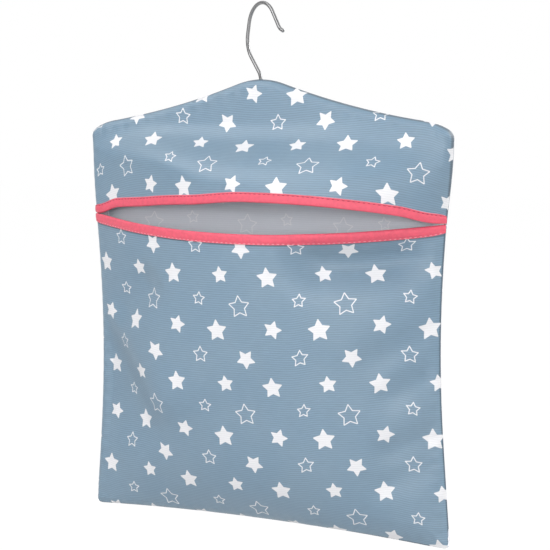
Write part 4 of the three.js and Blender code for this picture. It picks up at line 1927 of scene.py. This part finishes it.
    def build(self) -> None:
        """Models and dresses every piece of the bag, and attaches each to its body."""
        cloth, reverse, tape = PrintedCloth(), ClothReverse(), BindingTape()
        needle_thread, bobbin_thread = SewingThread(), SewingThread("bobbin_thread", (0.72, 0.33, 0.37))
        for strip in self.strips():
            piece = strip.build(OverlockedCloth())
            Workbench.hand_over(piece, Body.BAG, Slot.SEAM, strip.node)
        yoke, pouch, back = self.yoke(), self.pouch(), self.back()
        yoke_tape = Binding("yoke_tape", "yoke_binding", yoke, self.form.yoke_edge, -1)
        pouch_tape = Binding("pouch_tape", "pouch_binding", pouch, self.form.pouch_edge, 1, stitch_inset=0.95)
        for binding, thread in ((yoke_tape, needle_thread), (pouch_tape, bobbin_thread)):
            band = binding.build(tape)
            Workbench.hand_over(band, Body.BAG, Slot.TAPE, binding.node)
            stitches = binding.stitch(thread)
            Workbench.hand_over(stitches, Body.BAG, Slot.TAPE)
        for panel in (back, yoke, pouch):
            piece = panel.build(cloth, reverse)
            Workbench.hand_over(piece, Body.BAG, Slot.PRINT, panel.node)


@dataclass(frozen=True)
class Lamp:
    """A softbox, in metres, watts and degrees: its light fans out to the spread."""

    name: str
    place: Triple
    size: Pair
    power: float
    gloss: bool = True
    spread: float = 180.0
    aim: Triple = (0.0, 0.0, -0.2)

    def build(self) -> None:
        """Sets the lamp up, out of the camera's sight."""
        data = bpy.data.lights.new(self.name, "AREA")
        data.shape = "RECTANGLE"
        data.size, data.size_y = self.size
        data.energy = self.power
        data.spread = math.radians(self.spread)
        lamp = bpy.data.objects.new(self.name, data)
        lamp.visible_camera = False
        lamp.visible_glossy = self.gloss
        lamp.location = self.place
        towards = Vector(self.aim) - Vector(self.place)
        lamp.rotation_euler = towards.to_track_quat("-Z", "Y").to_euler()
        bpy.context.scene.collection.objects.link(lamp)


@dataclass(frozen=True)
class Studio:
    """The camera, white surroundings, pale floor and soft lamps, in metres."""

    yaw: float = math.radians(24.0)
    pitch: float = math.radians(7.6)
    tilt: float = math.radians(-0.28)
    distance: float = 1.189
    lens: float = 87.18
    sensor: float = 36.0
    nearest: float = 0.01
    aim: Triple = (0.0127, 0.0, -0.2378)
    floor_level: float = -0.62
    floor_size: float = 12.0
    light_levels: Pair = (0.252, 0.462)
    light_turn: Pair = (-0.6, 0.6)
    mirror_front_levels: Pair = (0.3, 1.0)
    mirror_front_turn: Pair = (-0.1, 0.35)
    mirror_low_levels: Pair = (0.35, 1.0)
    mirror_low_turn: Pair = (-0.35, 0.05)
    lamps: tuple[Lamp, ...] = (
        Lamp("key", (-0.85, -0.9, 1.38), (1.6, 1.2), 21.0),
        Lamp("fill", (1.0, -1.6, 0.42), (2.4, 1.2), 25.0, gloss=False),
        Lamp("front", (0.05, -2.0, 0.12), (1.8, 0.9), 12.0),
        Lamp("low", (-0.4, -1.95, -0.22), (1.8, 0.35), 2.5),
        Lamp("mouth", (0.6, -2.0, 0.1), (0.4, 0.3), 0.07, False, spread=22.0, aim=(0.02, -0.05, -0.26)),
        Lamp("behind", (1.5, 1.0, 0.9), (1.2, 1.0), 30.0),
    )

    def camera(self) -> None:
        """Sets up the camera at the photograph's angle."""
        back = Vector((
            math.sin(self.yaw) * math.cos(self.pitch),
            -math.cos(self.yaw) * math.cos(self.pitch),
            math.sin(self.pitch),
        ))
        right = Vector((math.cos(self.yaw), math.sin(self.yaw), 0.0))
        up = back.cross(right)
        turned_right = right * math.cos(self.tilt) + up * math.sin(self.tilt)
        turned_up = up * math.cos(self.tilt) - right * math.sin(self.tilt)
        place = Matrix((turned_right, turned_up, back)).transposed().to_4x4()
        place.translation = Vector(self.aim) + back * self.distance
        data = bpy.data.cameras.new("photo_camera")
        data.sensor_width = self.sensor
        data.lens = self.lens
        data.clip_start = self.nearest
        camera = bpy.data.objects.new("photo_camera", data)
        camera.matrix_world = place
        bpy.context.scene.collection.objects.link(camera)
        bpy.context.scene.camera = camera

    def world(self) -> None:
        """Makes a white studio that lights the bag evenly and mirrors darker from in front and below."""
        world = bpy.data.worlds.new("studio")
        bpy.context.scene.world = world
        sheet = NodeSheet.emptied(world)
        seen, mirrored = sheet.rays()
        direction = sheet.parts(sheet.add("TexCoord").outputs["Generated"])
        front = sheet.between(direction["Y"], *self.mirror_front_turn, self.mirror_front_levels)
        low = sheet.between(direction["Z"], *self.mirror_low_turn, self.mirror_low_levels)
        reflected = sheet.math("MULTIPLY", front, low)
        lit = sheet.between(direction["Z"], *self.light_turn, self.light_levels)
        level = sheet.add("Mix", {"Factor": mirrored, "A": lit, "B": reflected}).outputs["Result"]
        level = sheet.add("Mix", {"Factor": seen, "A": level, "B": 1.0}).outputs["Result"]
        white = sheet.add("Background", {"Color": WHITE, "Strength": level}).outputs["Background"]
        sheet.add("OutputWorld", {"Surface": white})

    def floor(self) -> None:
        """Lays a pale floor that runs into the white surroundings and keeps the bag's shadow."""
        Workbench.clear()
        bpy.ops.mesh.primitive_plane_add(size=self.floor_size, location=(0, 0, self.floor_level))
        floor = bpy.context.object
        floor.name = "floor"
        Workbench.dress(floor, PaleFloor().material())

    def build(self) -> None:
        """Sets up everything round the bag."""
        self.camera()
        self.world()
        self.floor()
        for lamp in self.lamps:
            lamp.build()
        bpy.context.scene.view_settings.view_transform = "Standard"


def dress_hardware() -> None:
    """Gives the washer and the hanger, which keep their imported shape, their finishes."""
    for node, finish in (("hook_washer", PlatedSteel()), ("hanger_bar", BeechWood())):
        Workbench.dress(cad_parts[node], finish.material())


def main() -> None:
    """Builds the studio, the hook and the bag."""
    logging.basicConfig(level=logging.INFO, format="%(message)s")
    Studio().build()
    hook = Hook().build(PlatedSteel())
    Workbench.hand_over(hook, Body.HOOK, Slot.STEEL, "hook_wire")
    dress_hardware()
    Bag().build()


if __name__ == "__main__":
    main()
